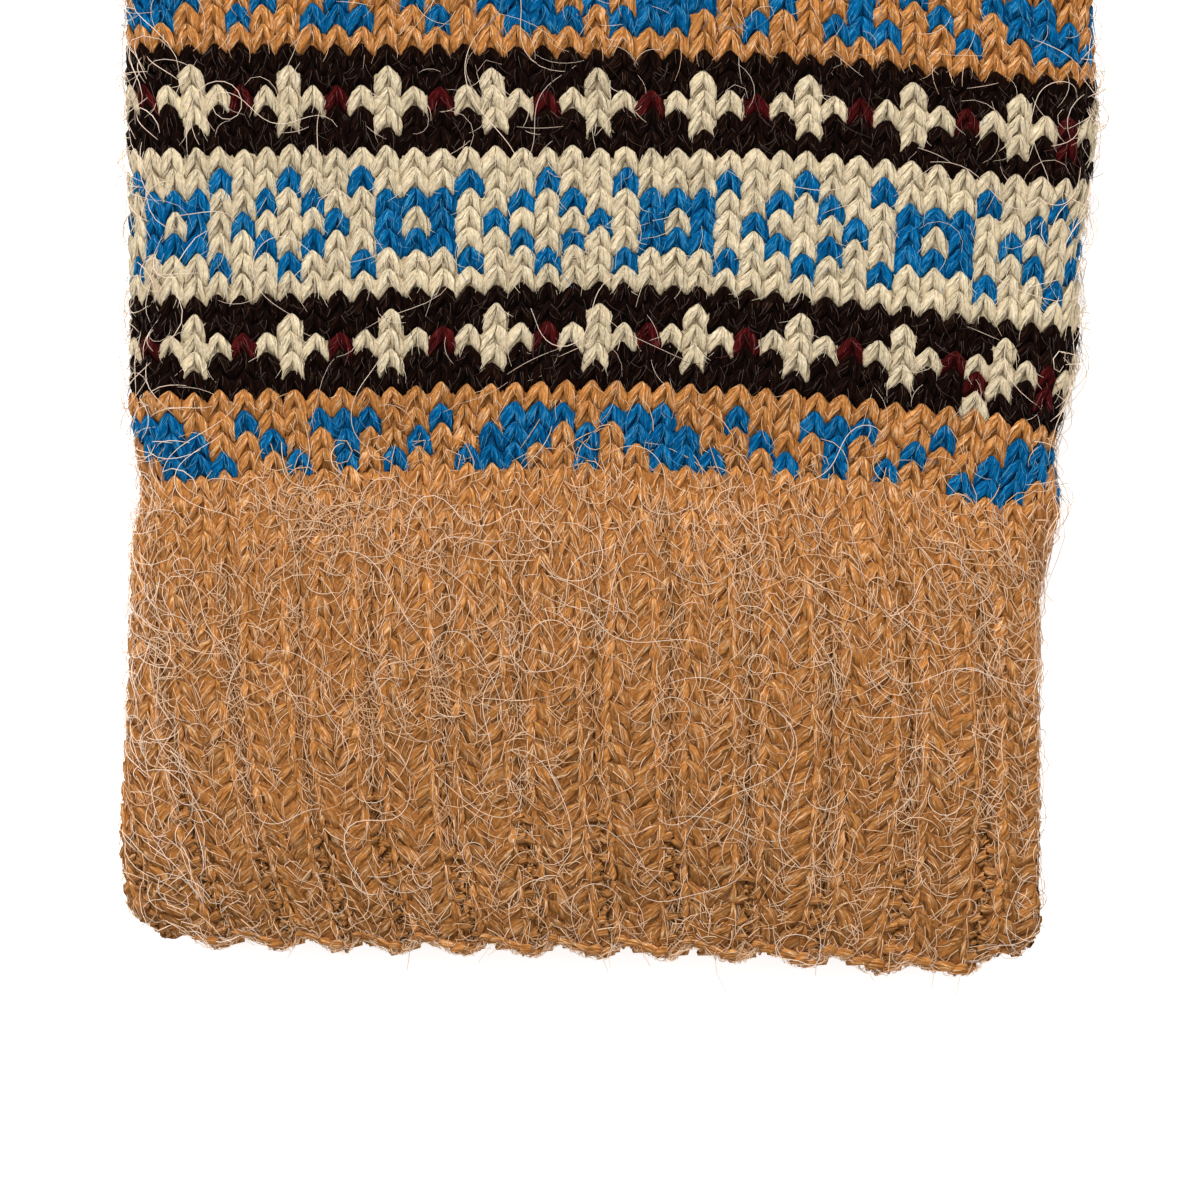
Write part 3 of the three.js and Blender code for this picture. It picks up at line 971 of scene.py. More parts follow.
def add_hair_tubes(strands, random, path, radius, length):
    """Adds three-sided tapered tubes along paths."""
    tangent = np.gradient(path, axis=1)
    tangent /= np.maximum(np.linalg.norm(tangent, axis=-1, keepdims=True), 1e-9)
    up = HAIR_UP * np.ones_like(tangent)
    up -= (up * tangent).sum(-1, keepdims=True) * tangent
    up /= np.maximum(np.linalg.norm(up, axis=-1, keepdims=True), 1e-6)
    side = np.cross(up, tangent)
    turns = np.radians((0, 120, 240))
    spread = side[:, :, None] * np.sin(turns)[:, None] + up[:, :, None] * np.cos(turns)[:, None]
    rings = path[:, :, None] + spread * radius[..., None, None]
    ends = np.stack((path[:, 0] - tangent[:, 0] * 0.03, path[:, -1] + tangent[:, -1] * 0.03), 1)
    count = len(path)
    tone = random.normal(0, 1, count)
    strands.add(
        rings, ends, radius[:, 0] * 6, length, tone, np.ones(rings.shape[:3]), np.ones((count, 2))
    )


def add_hairs(
    strands, tube, random, column, height, heading, length, curl, sway, lift, radius, steps
):
    """Adds hairs that wander over the knitting.

    A hair's heading turns steadily with its curl, so that a strong curl closes into loops, and
    sways as a slow sine. The hair leaves the yarn, rises as a sine over its length and comes
    down again. One that would hang far past the hem is folded back over the knitting.
    """
    count = len(column)
    t = np.linspace(0, 1, steps)[None]
    step = (length / (steps - 1))[:, None]
    run = length[:, None] * t
    wave = 2 * math.pi / random.uniform(12, 30, (count, 1))
    phase = random.uniform(0, 2 * math.pi, (count, 1))
    angle = heading[:, None] + curl[:, None] * run + sway * np.sin(wave * run + phase)
    along_x = np.cumsum(np.cos(angle) * step, axis=1)
    along_y = np.cumsum(np.sin(angle) * step, axis=1)
    low = 0.3 + random.uniform(-0.1, 0.2, (count, 1))
    ripple = 0.12 * np.sin(run * random.uniform(0.5, 1.3, (count, 1)) + phase * 2)
    arch = np.sin(math.pi * np.minimum(t * random.uniform(0.8, 1.0, (count, 1)), 1))
    lifts = low + lift[:, None] * arch + ripple
    heights = np.minimum(np.abs(height[:, None] + along_y + HAIR_LOW) - HAIR_LOW, HAIR_TOP)
    path = tube.place(column[:, None] + along_x / HAIR_COLUMN, heights, lifts)
    taper = radius[:, None] * (0.45 + 0.55 * np.sin(math.pi * (0.12 + 0.76 * t)))
    add_hair_tubes(strands, random, path, taper, length)


class Hairs:
    """The loose hairs of cuff and wrist, thrown over a tube without ribs."""

    def __init__(self, sizes):
        self.sizes = sizes
        self.random = np.random.default_rng(sizes.seed + 20)
        self.tube = HandTube(HAND_SECTIONS, CUFF_PALM_COLUMNS, ribbed=False)
        self.radius = sizes.hair_width / MM / 2

    def draw(self, count, low, high, first=FIRST, last=LAST):
        """Columns and heights for hairs to start from."""
        return self.random.uniform(first, last, count), self.random.uniform(low, high, count)

    def headings(self, count, spread):
        """Up or down the glove, each turned aside a little."""
        upward = np.where(self.random.uniform(size=count) < 0.5, 1, -1)
        return upward * math.pi / 2 + self.random.normal(0, spread, count)

    def throw(self, strands, place, heading, length, curl, sway, lift, thin, steps):
        """Adds hairs, thin as a share of a long hair's thickness."""
        count = len(heading)
        add_hairs(
            strands, self.tube, self.random, *place, heading, length, curl, sway, lift,
            self.radius * thin * self.random.uniform(0.8, 1.15, count), steps,
        )

    def strays(self):
        """Long hairs, mostly on the cuff, then curled ones on it and short ones on the wrist."""
        random, strays = self.random, Strands()
        column, height = self.draw(self.sizes.long_hairs, 0, 99)
        kept = (height < LONG_HAIR_LINE) | (random.uniform(size=len(height)) < 0.16)
        count = np.count_nonzero(kept)
        self.throw(
            strays, (column[kept], height[kept]), self.headings(count, 0.9),
            length=random.gamma(4.0, 2.6, count) + 4,
            curl=random.normal(0, 0.16, count), sway=0.9,
            lift=random.uniform(0.3, 1.2, count), thin=0.7, steps=22,
        )
        count = self.sizes.long_hairs // 6
        self.throw(
            strays, self.draw(count, 0, LONG_HAIR_LINE), self.headings(count, 1.5),
            length=random.uniform(5, 12, count),
            curl=random.choice((-1, 1), count) * random.uniform(0.25, 0.8, count), sway=1.0,
            lift=random.uniform(0.3, 1.0, count), thin=0.75, steps=24,
        )
        count = self.sizes.long_hairs
        self.throw(
            strays, self.draw(count, CUFF_TOP, 103), self.headings(count, 1.2),
            length=random.gamma(4.0, 0.8, count) + 1.5,
            curl=random.normal(0, 0.4, count), sway=0.5,
            lift=random.uniform(0.1, 0.8, count), thin=0.45, steps=7,
        )
        return strays

    def fuzz(self):
        """The cuff's fuzz: in tufts, in the gutters between the ribs, and along the hem."""
        random, fuzz = self.random, Strands()
        count = self.sizes.short_hairs // 2
        tufts = self.draw(TUFTS, 0, CUFF_TOP)
        tuft = random.integers(TUFTS, size=count)
        self.throw(
            fuzz, [at[tuft] + random.normal(0, wide, count) for at, wide in zip(tufts, TUFT_SIZE)],
            self.headings(count, 0.5),
            length=random.gamma(4.0, 0.9, count) + 1.2,
            curl=random.normal(0, 0.4, count), sway=0.5,
            lift=random.uniform(-0.1, 0.5, count), thin=1.0, steps=6,
        )
        column, height = self.draw(count, -1, CUFF_TOP + 2)
        rib = np.floor(column / RIB_COLUMNS) * RIB_COLUMNS
        gutter = rib + GUTTER + random.normal(0, 0.35, count)
        column = np.where(random.uniform(size=count) < 0.6, gutter, column)
        self.throw(
            fuzz, (column, height), self.headings(count, 0.8),
            length=random.gamma(4.0, 0.8, count) + 1.2,
            curl=random.choice((-1, 1), count) * random.gamma(2.0, 0.35, count), sway=0.6,
            lift=random.uniform(-0.2, 0.4, count), thin=0.9, steps=5,
        )
        count = self.sizes.wisps * 2
        self.throw(
            fuzz, self.draw(count, *HEM), random.uniform(-math.pi, 0, count),
            length=random.gamma(4.0, 0.3, count) + 0.4,
            curl=random.normal(0, 0.9, count), sway=0.4,
            lift=random.uniform(-1.5, 0.5, count), thin=0.8, steps=5,
        )
        return fuzz

    def wisps(self):
        """Pale wisps along both side edges and the hem."""
        random, wisps = self.random, Strands()
        count = self.sizes.wisps
        aside, height = self.draw(count, -1, 100, -2.2, 1.2)
        left = random.uniform(size=count) < 0.5
        column = np.where(left, FIRST - aside * 0.9, LAST + aside)
        self.throw(
            wisps, (column, height), self.headings(count, 0.7),
            length=random.gamma(4.0, 1.0, count) + 1.2,
            curl=random.normal(0, 0.3, count), sway=0.6,
            lift=random.uniform(0.3, 1.6, count), thin=0.8, steps=7,
        )
        count = self.sizes.wisps // 2
        self.throw(
            wisps, self.draw(count, *HEM), random.uniform(-math.pi, 0, count),
            length=random.gamma(4.0, 0.25, count) + 0.4,
            curl=random.normal(0, 0.9, count), sway=0.4,
            lift=random.uniform(-0.5, 0.5, count), thin=0.45, steps=5,
        )
        return wisps


# Materials
FIBRE_WHITE = (0.8, 0.68, 0.6)


class Output:
    """An output of a shader node. Arithmetic on it adds Math nodes."""

    def __init__(self, paint, socket):
        self.paint, self.socket = paint, socket

    def _math(self, operation, *values):
        inputs = dict(enumerate(values))
        return self.paint.add("ShaderNodeMath", {"operation": operation}, inputs)["Value"]

    def __add__(self, other):
        return self._math("ADD", self, other)

    def __radd__(self, other):
        return self._math("ADD", other, self)

    def __mul__(self, other):
        return self._math("MULTIPLY", self, other)

    def __rmul__(self, other):
        return self._math("MULTIPLY", other, self)

    def sine(self):
        return self._math("SINE", self)

    def between(self, low, high):
        """0 below low, 1 above high and a smooth step from one to the other."""
        settings = {"interpolation_type": "SMOOTHSTEP"}
        inputs = {"Value": self, 1: low, 2: high}
        return self.paint.add("ShaderNodeMapRange", settings, inputs)["Result"]


class Paint:
    """One material's shader tree."""

    def __init__(self, name):
        self.material = bpy.data.materials.new(name)
        self.material.use_nodes = True
        self.tree = self.material.node_tree
        self.shader = self.tree.nodes["Principled BSDF"]

    def add(self, kind, settings, inputs):
        """Adds a node, sets its settings, then links or sets its sockets, and gives its outputs."""
        node = self.tree.nodes.new(kind)
        for name, value in settings.items():
            setattr(node, name, value)
        self.fill(node, inputs)
        return {socket.name: Output(self, socket) for socket in node.outputs if socket.enabled}

    def fill(self, node, inputs):
        """Links or sets a node's sockets, by name or by number."""
        for name, value in inputs.items():
            if isinstance(value, Output):
                self.tree.links.new(value.socket, node.inputs[name])
            else:
                node.inputs[name].default_value = value

    def finish(self, **inputs):
        """Links or sets the shader's own sockets, named with underscores for spaces."""
        self.fill(self.shader, {name.replace("_", " "): value for name, value in inputs.items()})
        return self.material

    def fibres(self):
        """The way round and the way along a strand, in millimetres."""
        uv = self.add("ShaderNodeUVMap", {"uv_map": "fibres"}, {})["UV"]
        parts = self.add("ShaderNodeSeparateXYZ", {}, {"Vector": uv})
        return parts["X"], parts["Y"]

    def value(self, name):
        """A value that the mesh keeps at its points."""
        return self.add("ShaderNodeAttribute", {"attribute_name": name}, {})["Fac"]

    def noise(self, x, y, z, detail, roughness=0.5):
        """Noise at a place, one cycle to a unit."""
        vector = self.add("ShaderNodeCombineXYZ", {}, {"X": x, "Y": y, "Z": z})["Vector"]
        inputs = {"Vector": vector, "Scale": 1.0, "Detail": detail, "Roughness": roughness}
        return self.add("ShaderNodeTexNoise", {"noise_dimensions": "3D"}, inputs)["Fac"]

    def place_noise(self, scale, detail):
        """Noise over the whole glove, scale cycles to a millimetre."""
        place = self.add("ShaderNodeTexCoord", {}, {})["Object"]
        inputs = {"Vector": place, "Scale": scale / MM, "Detail": detail}
        return self.add("ShaderNodeTexNoise", {"noise_dimensions": "3D"}, inputs)["Fac"]

    def mix(self, factor, first, second, blend="MIX"):
        """A colour between two, or their product where blend says so."""
        settings = {"data_type": "RGBA", "blend_type": blend, "clamp_factor": True}
        inputs = {"Factor": factor, 6: first, 7: second}
        return self.add("ShaderNodeMix", settings, inputs)["Result"]

    def bump(self, height, distance, strength):
        """The normal bent by a height, distance millimetres tall."""
        inputs = {"Height": height, "Distance": distance * MM, "Strength": strength}
        return self.add("ShaderNodeBump", {}, inputs)["Normal"]


def shade(colour, factor):
    """A colour made darker or lighter by a factor, as the four numbers a socket takes."""
    return (*(min(1.0, part * factor) for part in colour[:3]), 1.0)


def blend(first, second, share):
    """A colour that is a share of the way from one to another."""
    mixed = [a + (b - a) * share for a, b in zip(first[:3], second[:3])]
    return (*mixed, 1.0)


def yarn_material(name, colour, painted_shade, pale, streaks, fuzz, sheen):
    """Wool yarn: fibres that run along the strand with a slight twist, and painted shade in crevices.

    The streaks are noise stretched along the strand. Two plies show as a soft crease that winds
    round it, with painted shade in it. Painted shade darkens what lies low, by the depth value; each
    stitch has its own tone, random and on the cuff also painted light and shade; and a slow patch
    noise and a fine mottle go over them all.
    """
    paint = Paint(name)
    around, along = paint.fibres()
    twisted = around + along * 0.35
    fine = paint.noise(twisted * 3.4, along * 0.5, 0.0, 2.0, 0.65)
    wide = paint.noise(twisted * 1.3, along * 0.4, 5.0, 1.0)
    crease = ((twisted * 4.8).sine() * 0.5 + 0.5).between(0.0, 0.55)
    depth, tone = paint.value("depth"), paint.value("tone")
    patch = paint.place_noise(0.09, 2.0)
    # The yarn's own dark and pale fibres; the dark ones are mixed towards the shade colour
    body = paint.mix(fine.between(0.38, 0.52), blend(colour, painted_shade, 0.7), (*colour[:3], 1.0))
    body = paint.mix(fine.between(0.52, 0.66) * streaks, body, pale)
    # Painted shade: low-lying yarn, more so in the ply crease, is mixed towards the shade colour
    low = depth.between(-0.1, 0.7) * (crease * 0.35 + 0.65)
    body = paint.mix(low, painted_shade, body)
    mottle = paint.place_noise(2.6, 3.0)
    # The tone is random by stitch and, on the cuff, also painted light and shade; the noises are the
    # yarn's own mottle
    level = tone * 0.07 + patch * 0.3 + wide * 0.15 + mottle * 0.8 + 0.38
    channels = dict.fromkeys(("Red", "Green", "Blue"), level)
    grey = paint.add("ShaderNodeCombineColor", {}, channels)["Color"]
    body = paint.mix(1.0, body, grey, "MULTIPLY")
    height = fine * 1.2 + wide * 0.8 + crease * 0.8
    return paint.finish(
        Base_Color=body, Roughness=0.95, Normal=paint.bump(height, 0.3, fuzz),
        Specular_IOR_Level=0.04, Sheen_Weight=sheen, Sheen_Roughness=0.6, Sheen_Tint=pale,
    )


def ground_material(name):
    """The web behind the stitches, in each stitch's own yarn with painted shade, darkened further by
    painted shade in a grain, and rough.
    """
    paint = Paint(name)
    around, along = paint.fibres()
    yarn = paint.add("ShaderNodeAttribute", {"attribute_name": "yarn"}, {})["Color"]
    grain = paint.noise(around * 3.0, along * 3.0, 0.0, 3.0, 0.6)
    # Painted shade: the web's colour times a fixed darker factor, mixed in by the grain
    dark = paint.mix(1.0, yarn, (0.62, 0.58, 0.55, 1), "MULTIPLY")
    body = paint.mix(grain.between(0.35, 0.7), dark, yarn)
    return paint.finish(
        Base_Color=body, Roughness=0.95, Normal=paint.bump(grain, 0.3, 0.8),
        Specular_IOR_Level=0.15,
    )


def hair_material(name, pale, white):
    """A fine hair, each between two pale colours, with a faint gloss."""
    paint = Paint(name)
    tone = paint.value("tone")
    body = paint.mix((tone * 0.32 + 0.5).between(0.0, 1.0), pale, white)
    along = paint.noise(0.0, paint.fibres()[1] * 1.5, 0.0, 1.0)
    body = paint.mix(along.between(0.3, 0.7) * 0.3, body, white)
    return paint.finish(Base_Color=body, Roughness=0.6, Specular_IOR_Level=0.2)


# Settings
class KnitYarns(bpy.types.PropertyGroup):
    """The colours of the five yarns and of the stray hairs."""

    camel: FloatVectorProperty(
        name="Camel", description="Yarn of the cuff, hand and fingers",
        subtype="COLOR", size=3, min=0, max=1, default=(0.46, 0.185, 0.046),
    )
    cream: FloatVectorProperty(
        name="Cream", description="Yarn of the stars and of the wide middle band",
        subtype="COLOR", size=3, min=0, max=1, default=(0.55, 0.455, 0.305),
    )
    blue: FloatVectorProperty(
        name="Blue", description="Yarn of the diamonds and of the wave bands",
        subtype="COLOR", size=3, min=0, max=1, default=(0.0, 0.096, 0.25),
    )
    dark: FloatVectorProperty(
        name="Dark brown", description="Yarn behind the stars",
        subtype="COLOR", size=3, min=0, max=1, default=(0.0056, 0.0015, 0.0007),
    )
    red: FloatVectorProperty(
        name="Dark red", description="Single stitches between the stars",
        subtype="COLOR", size=3, min=0, max=1, default=(0.05, 0.003, 0.003),
    )
    hair: FloatVectorProperty(
        name="Stray hair", description="Long pale hairs over the knitting",
        subtype="COLOR", size=3, min=0, max=1, default=(0.75, 0.59, 0.46),
    )


class KnitSizes(bpy.types.PropertyGroup):
    """Sizes of the stitches and numbers of hairs."""

    pattern_row: FloatProperty(
        name="Pattern row", description="Height of a row of the patterned wrist and the hand",
        subtype="DISTANCE", unit="LENGTH", default=0.00208, min=0.001,
    )
    hem_row: FloatProperty(
        name="Hem row", description="Height of a row of the cuff at its hem",
        subtype="DISTANCE", unit="LENGTH", default=0.0020, min=0.001,
    )
    cuff_rows: IntProperty(
        name="Cuff rows", description="Rows between the hem and the pattern", default=23, min=4,
    )
    hair_width: FloatProperty(
        name="Hair width", description="Thickness of a long stray hair",
        subtype="DISTANCE", unit="LENGTH", default=0.00012, min=0.00002,
    )
    long_hairs: IntProperty(
        name="Long hairs", description="Long curly hairs over cuff and wrist", default=170, min=0,
    )
    short_hairs: IntProperty(
        name="Short hairs", description="Short hairs that stand out of the camel yarn",
        default=2300, min=0,
    )
    wisps: IntProperty(
        name="Wisps", description="Fine wisps along the sides. The hem has more, most of them camel",
        default=560, min=0,
    )
    seed: IntProperty(name="Seed", description="Start of the random draws", default=11, min=0)


class StudioSetup(bpy.types.PropertyGroup):
    """The camera and the lights."""

    camera_height: FloatProperty(
        name="Camera height", description="Height of the camera over the floor",
        subtype="DISTANCE", unit="LENGTH", default=1.2, min=0.2,
    )
    view_width: FloatProperty(
        name="View width", description="Width of the glove's plane that the camera sees",
        subtype="DISTANCE", unit="LENGTH", default=0.1248, min=0.02,
    )
    fill: FloatProperty(
        name="Fill light", description="Strength of the even light from all round",
        default=0.82, min=0,
    )
    floor_glow: FloatProperty(
        name="Floor glow", description="Light that the floor gives off, as a light table does",
        default=0.5, min=0,
    )
    key: FloatProperty(
        name="Key light", description="Power of the large soft light",
        subtype="POWER", default=14, min=0,
    )


def yarn_shades():
    """Each yarn's colour, painted crevice shade colour, pale fibre colour, streaks, bump and sheen."""
    yarns = bpy.context.scene.glove_yarns
    camel, cream, blue = yarns.camel[:], yarns.cream[:], yarns.blue[:]
    dark, red = yarns.dark[:], yarns.red[:]
    return (
        (camel, (0.22, 0.078, 0.018, 1), (0.72, 0.47, 0.26, 1), 0.75, 0.9, 0.04),
        (cream, (0.5, 0.39, 0.24, 1), (0.68, 0.6, 0.45, 1), 0.6, 0.9, 0.02),
        (blue, (0.0, 0.04, 0.125, 1), (0.04, 0.24, 0.43, 1), 0.75, 0.9, 0.0),
        (dark, (0.001, 0.0003, 0.0001, 1), (0.034, 0.014, 0.007, 1), 0.5, 0.8, 0.0),
        (red, (0.006, 0.0005, 0.0008, 1), (0.12, 0.014, 0.015, 1), 0.55, 0.8, 0.0),
    )


def made_once(make, name, *values):
    """The material of a name, made the first time that it is asked for."""
    return bpy.data.materials.get(name) or make(name, *values)


def yarn_paint(yarn):
    """The material of a yarn."""
    return made_once(yarn_material, YARN_NAMES[yarn] + "_yarn", *yarn_shades()[yarn])


def fibre_paint(yarn):
    """The material of the short fibres that stand out of a yarn. Camel's are the palest."""
    colour, _, pale = yarn_shades()[yarn][:3]
    white = blend(pale, FIBRE_WHITE, 0.25 if yarn == CAMEL else 0.05)
    return made_once(hair_material, YARN_NAMES[yarn] + "_fibres", blend(colour, pale, 0.5), white)


def hair_paint():
    """The material of the long stray hairs."""
    hair = bpy.context.scene.glove_yarns.hair[:]
    return made_once(hair_material, "stray_hair", shade(hair, 0.85), shade(hair, 1.15))


def ground_paint():
    """The material of the web behind the stitches."""
    return made_once(ground_material, "knit_ground")


def shaded_web_colours():
    """The colour of the web behind each yarn's stitches: the yarn with a share of painted crevice
    shade.
    """
    return np.array([blend(colour, painted_shade, 0.2)[:3] for colour, painted_shade, *_ in yarn_shades()])


def row_tops(sizes):
    """Tops and heights of the cuff's rows from the pattern down to CUFF_START.

    The rows grow lower towards the hem in even steps, so their tops lie on a parabola.
    """
    n = np.arange(sizes.cuff_rows)
    last = sizes.hem_row / MM
    first = 2 * (CUFF_TOP - CUFF_START) / sizes.cuff_rows - last
    shrink = (first - last) / (2 * sizes.cuff_rows)
    return CUFF_TOP - (first * n - shrink * n * n), first - 2 * shrink * n


def rib_look(place, top):
    """Lean and tones of the cuff's stitches, by their place in the rib and their height.

    The raised columns lean together over the sunk one, more and more down from LEAN_START. The
    tones are a row for the left legs and one for the right, and are painted light and shade. They
    fall evenly towards the hem as painted shade, and below the pattern the legs beside a crease or
    in a sunk column get painted shade, the others painted light.
    """
    sides = [place == LEFT_COLUMN, place == RIGHT_COLUMN]
    lean = np.select(sides, (RIB_LEAN, -RIB_LEAN)) * np.clip((LEAN_START - top) / LEAN_RISE, 0, 1)
    # Painted shade beside a crease and in sunk columns, painted light on the other raised legs
    ribs = np.where(sides, CREASE_SHADE, np.where(place == SUNK_COLUMN, SUNK_SHADE, RAISED_LIGHT))
    # Painted shade that grows evenly from the pattern down to the hem
    tone = CUFF_TONE + HEM_SHADE_FALL * np.clip(top / CUFF_TOP - 1, -1, 0)
    return lean, tone + ribs * np.clip((CUFF_TOP - top) / RIB_SHADE_RISE, 0, 1)


def purl_bumps(tube, random, column, top, tall):
    """The purl stitches of the sunk columns, each a wide bump and a narrower one below it."""
    purl = Strands()
    middle = top - 0.5 * tall
    for reach, lower, thick in ((0.6, 0.0, 0.8), (0.45, 0.5, 0.66)):
        # Their low tone is painted shade, as in the sunk knit columns
        add_bumps(
            purl, tube, random, column, middle - lower * tall, tall,
            reach=reach, lift=0.3, thick=thick, tilt=0.0, slack=0.45, low=0, tone=-2.6,
        )
    return purl


def cast_on_edge(tube, random):
    """The cast-on edge: slanted bumps round the hem, in three rows down its thickness."""
    edge = Strands()
    column = np.arange(FIRST, LAST + CUFF_PALM_COLUMNS, 0.5) + 0.25
    even = np.ones(len(column))
    for lift in (-0.1, -1.1, -2.0):
        add_bumps(
            edge, tube, random, column, -0.1 * even, even,
            reach=0.38, lift=lift, thick=0.62, tilt=0.3, slack=0.12, low=-2, tone=-1.6, sides=6,
        )
    return edge


# The stage: half the floor's width and the height of the back in metres, and the height on the
# glove that the camera looks straight down at
FLOOR_HALF = 2.0
BACK_HEIGHT = 0.011
VIEW_MIDDLE = 36.4


# Operators
class GLOVE_OT_knit_cuff(bpy.types.Operator):
    """Knits the ribbed cuff: raised pairs of columns, sunk purl columns and the cast-on edge"""

    bl_idname = "glove.knit_cuff"
    bl_label = "Knit the ribbed cuff"

    def execute(self, context):
        sizes = context.scene.glove_sizes
        random = np.random.default_rng(sizes.seed)
        tube = HandTube(HAND_SECTIONS, CUFF_PALM_COLUMNS)
        tops, rows = row_tops(sizes)
        every = np.arange(FIRST, LAST + CUFF_PALM_COLUMNS) + 0.5
        column, top = [grid.ravel() for grid in np.meshgrid(every, tops)]
        tall = np.repeat(rows, len(every))
        purl_tops = np.tile(random.normal(PURL_TOP, PURL_SPREAD, len(every)), len(tops))
        place = np.mod(column, RIB_COLUMNS)
        knit = (place != SUNK_COLUMN) | (top > purl_tops)
        # The tones carry painted light and shade of the ribs and painted shade towards the hem
        lean, tone = rib_look(place, top)
        seen = (column < LAST - 1) | (column > LAST + CUFF_PALM_COLUMNS - 5)
        back, palm, fuzz = Strands(), Strands(), Strands()
        for strands, shape, chosen in ((back, FULL, seen & knit), (palm, PLAIN, ~seen & knit)):
            legs = add_stitches(
                strands, tube, shape, random, column[chosen], top[chosen], tall[chosen],
                lean[chosen], tone[:, chosen],
            )
            if strands is back:
                add_fibres(fuzz, tube, random, legs, 2, 2.2, sizes.hair_width / MM * 0.5)
        purl = purl_bumps(tube, random, column[~knit], top[~knit], tall[~knit])
        edge = cast_on_edge(tube, random)
        camel = yarn_paint(CAMEL)
        for name, strands in (
            ("cuff_knit_columns_back", back), ("cuff_knit_columns_palm", palm),
            ("cuff_purl_columns", purl), ("cuff_cast_on_edge", edge),
        ):
            dress(strands.put(name), camel, "camel_wool", "ribbed_cuff")
        dress(fuzz.put("cuff_fibres"), fibre_paint(CAMEL), "camel_wool")
        heights = np.concatenate(((0.3,), np.arange(2, CUFF_TOP, 2), (CUFF_TOP,)))
        columns = np.arange(FIRST, LAST + CUFF_PALM_COLUMNS, 0.5)
        ground = add_shell("cuff_ground", tube, columns, heights, CUFF_WEB)
        colour_corners(ground, shaded_web_colours()[CAMEL])
        dress(ground, ground_paint(), "camel_wool", "ribbed_cuff")
        return {"FINISHED"}


class GLOVE_OT_knit_wrist(bpy.types.Operator):
    """Knits the patterned wrist, each yarn's stitches as a piece of their own"""

    bl_idname = "glove.knit_wrist"
    bl_label = "Knit the patterned wrist"

    def execute(self, context):
        sizes = context.scene.glove_sizes
        random = np.random.default_rng(sizes.seed + 1)
        tube = HandTube(HAND_SECTIONS)
        row = sizes.pattern_row / MM
        chart = pattern_chart()
        every = np.arange(FIRST, LAST + PALM_COLUMNS) + 0.5
        rows = np.arange(PATTERN_ROWS)
        column, line = [grid.ravel() for grid in np.meshgrid(every, rows)]
        top = CUFF_TOP + (line + 1) * row
        yarn = chart[line, chart_column(column)]
        seen = column < LAST + 1
        fibre = sizes.hair_width / MM * 0.38
        for number, name in enumerate(YARN_NAMES):
            strands, fuzz = Strands(), Strands()
            for shape, side in ((FULL, seen), (PLAIN, ~seen)):
                chosen = (yarn == number) & side
                legs = add_stitches(strands, tube, shape, random, column[chosen], top[chosen], row)
                if shape is FULL:
                    add_fibres(fuzz, tube, random, legs, 2 if number == CAMEL else 3, 1.1, fibre)
            piece = strands.put(f"wrist_{name}_stitches")
            dress(piece, yarn_paint(number), f"{name}_wool", "patterned_wrist")
            dress(fuzz.put(f"wrist_{name}_fibres"), fibre_paint(number), f"{name}_wool")
        heights = CUFF_TOP + np.arange(PATTERN_ROWS + 1) * row
        ground = add_shell("wrist_ground", tube, every - 0.5, heights, WRIST_WEB)
        painted_shade = shaded_web_colours()
        outer = painted_shade[chart[:, chart_column(every)]]
        end = np.broadcast_to(painted_shade[CAMEL], (1, len(every), 3))
        faces = np.concatenate((outer, end, outer[::-1], end)).reshape(-1, 3)
        colour_corners(ground, faces)
        dress(ground, ground_paint(), "cream_wool", "patterned_wrist")
        return {"FINISHED"}


class GLOVE_OT_knit_hand(bpy.types.Operator):
    """Knits the plain hand: the palm with its thumb gusset, and the knuckles"""

    bl_idname = "glove.knit_hand"
    bl_label = "Knit the hand"

    def execute(self, context):
        sizes = context.scene.glove_sizes
        random = np.random.default_rng(sizes.seed + 2)
        row = sizes.pattern_row / MM
        palm, knuckles = HandTube(HAND_SECTIONS), HandTube(KNUCKLE_SECTIONS)
        strands = {"hand_back_stitches": Strands(), "hand_palm_stitches": Strands()}
        for top in np.arange(PATTERN_TOP + row, FINGER_LINE + 0.1, row):
            tube = palm if top < THUMB_LINE + row / 2 else knuckles
            level = min(top, THUMB_LINE) if tube is palm else top
            first = np.ceil(float(tube.back_start(np.array(level))) - 0.3)
            last = np.floor(float(tube.palm_end(np.array(level))) + 0.3)
            column = np.arange(first, last) + 0.5
            for name, chosen in (
                ("hand_back_stitches", column < LAST), ("hand_palm_stitches", column > LAST),
            ):
                add_stitches(
                    strands[name], tube, PLAIN, random, column[chosen], top, row, tone=PLAIN_TONE
                )
        for name, pile in strands.items():
            dress(pile.put(name), yarn_paint(CAMEL), "camel_wool", "hand")
        for name, tube, low, high in (
            ("palm_ground", palm, PATTERN_TOP, THUMB_LINE),
            ("knuckle_ground", knuckles, THUMB_LINE - 1.2, FINGER_LINE),
        ):
            heights = np.linspace(low, high, 16)
            start = tube.back_start(heights)[:, None]
            share = np.arange(CHART_ROUND) / CHART_ROUND
            columns = start + share * (tube.palm_end(heights)[:, None] - start)
            ground = add_shell(name, tube, columns, heights, HAND_WEB)
            colour_corners(ground, shaded_web_colours()[CAMEL])
            dress(ground, ground_paint(), "camel_wool", "hand")
        return {"FINISHED"}


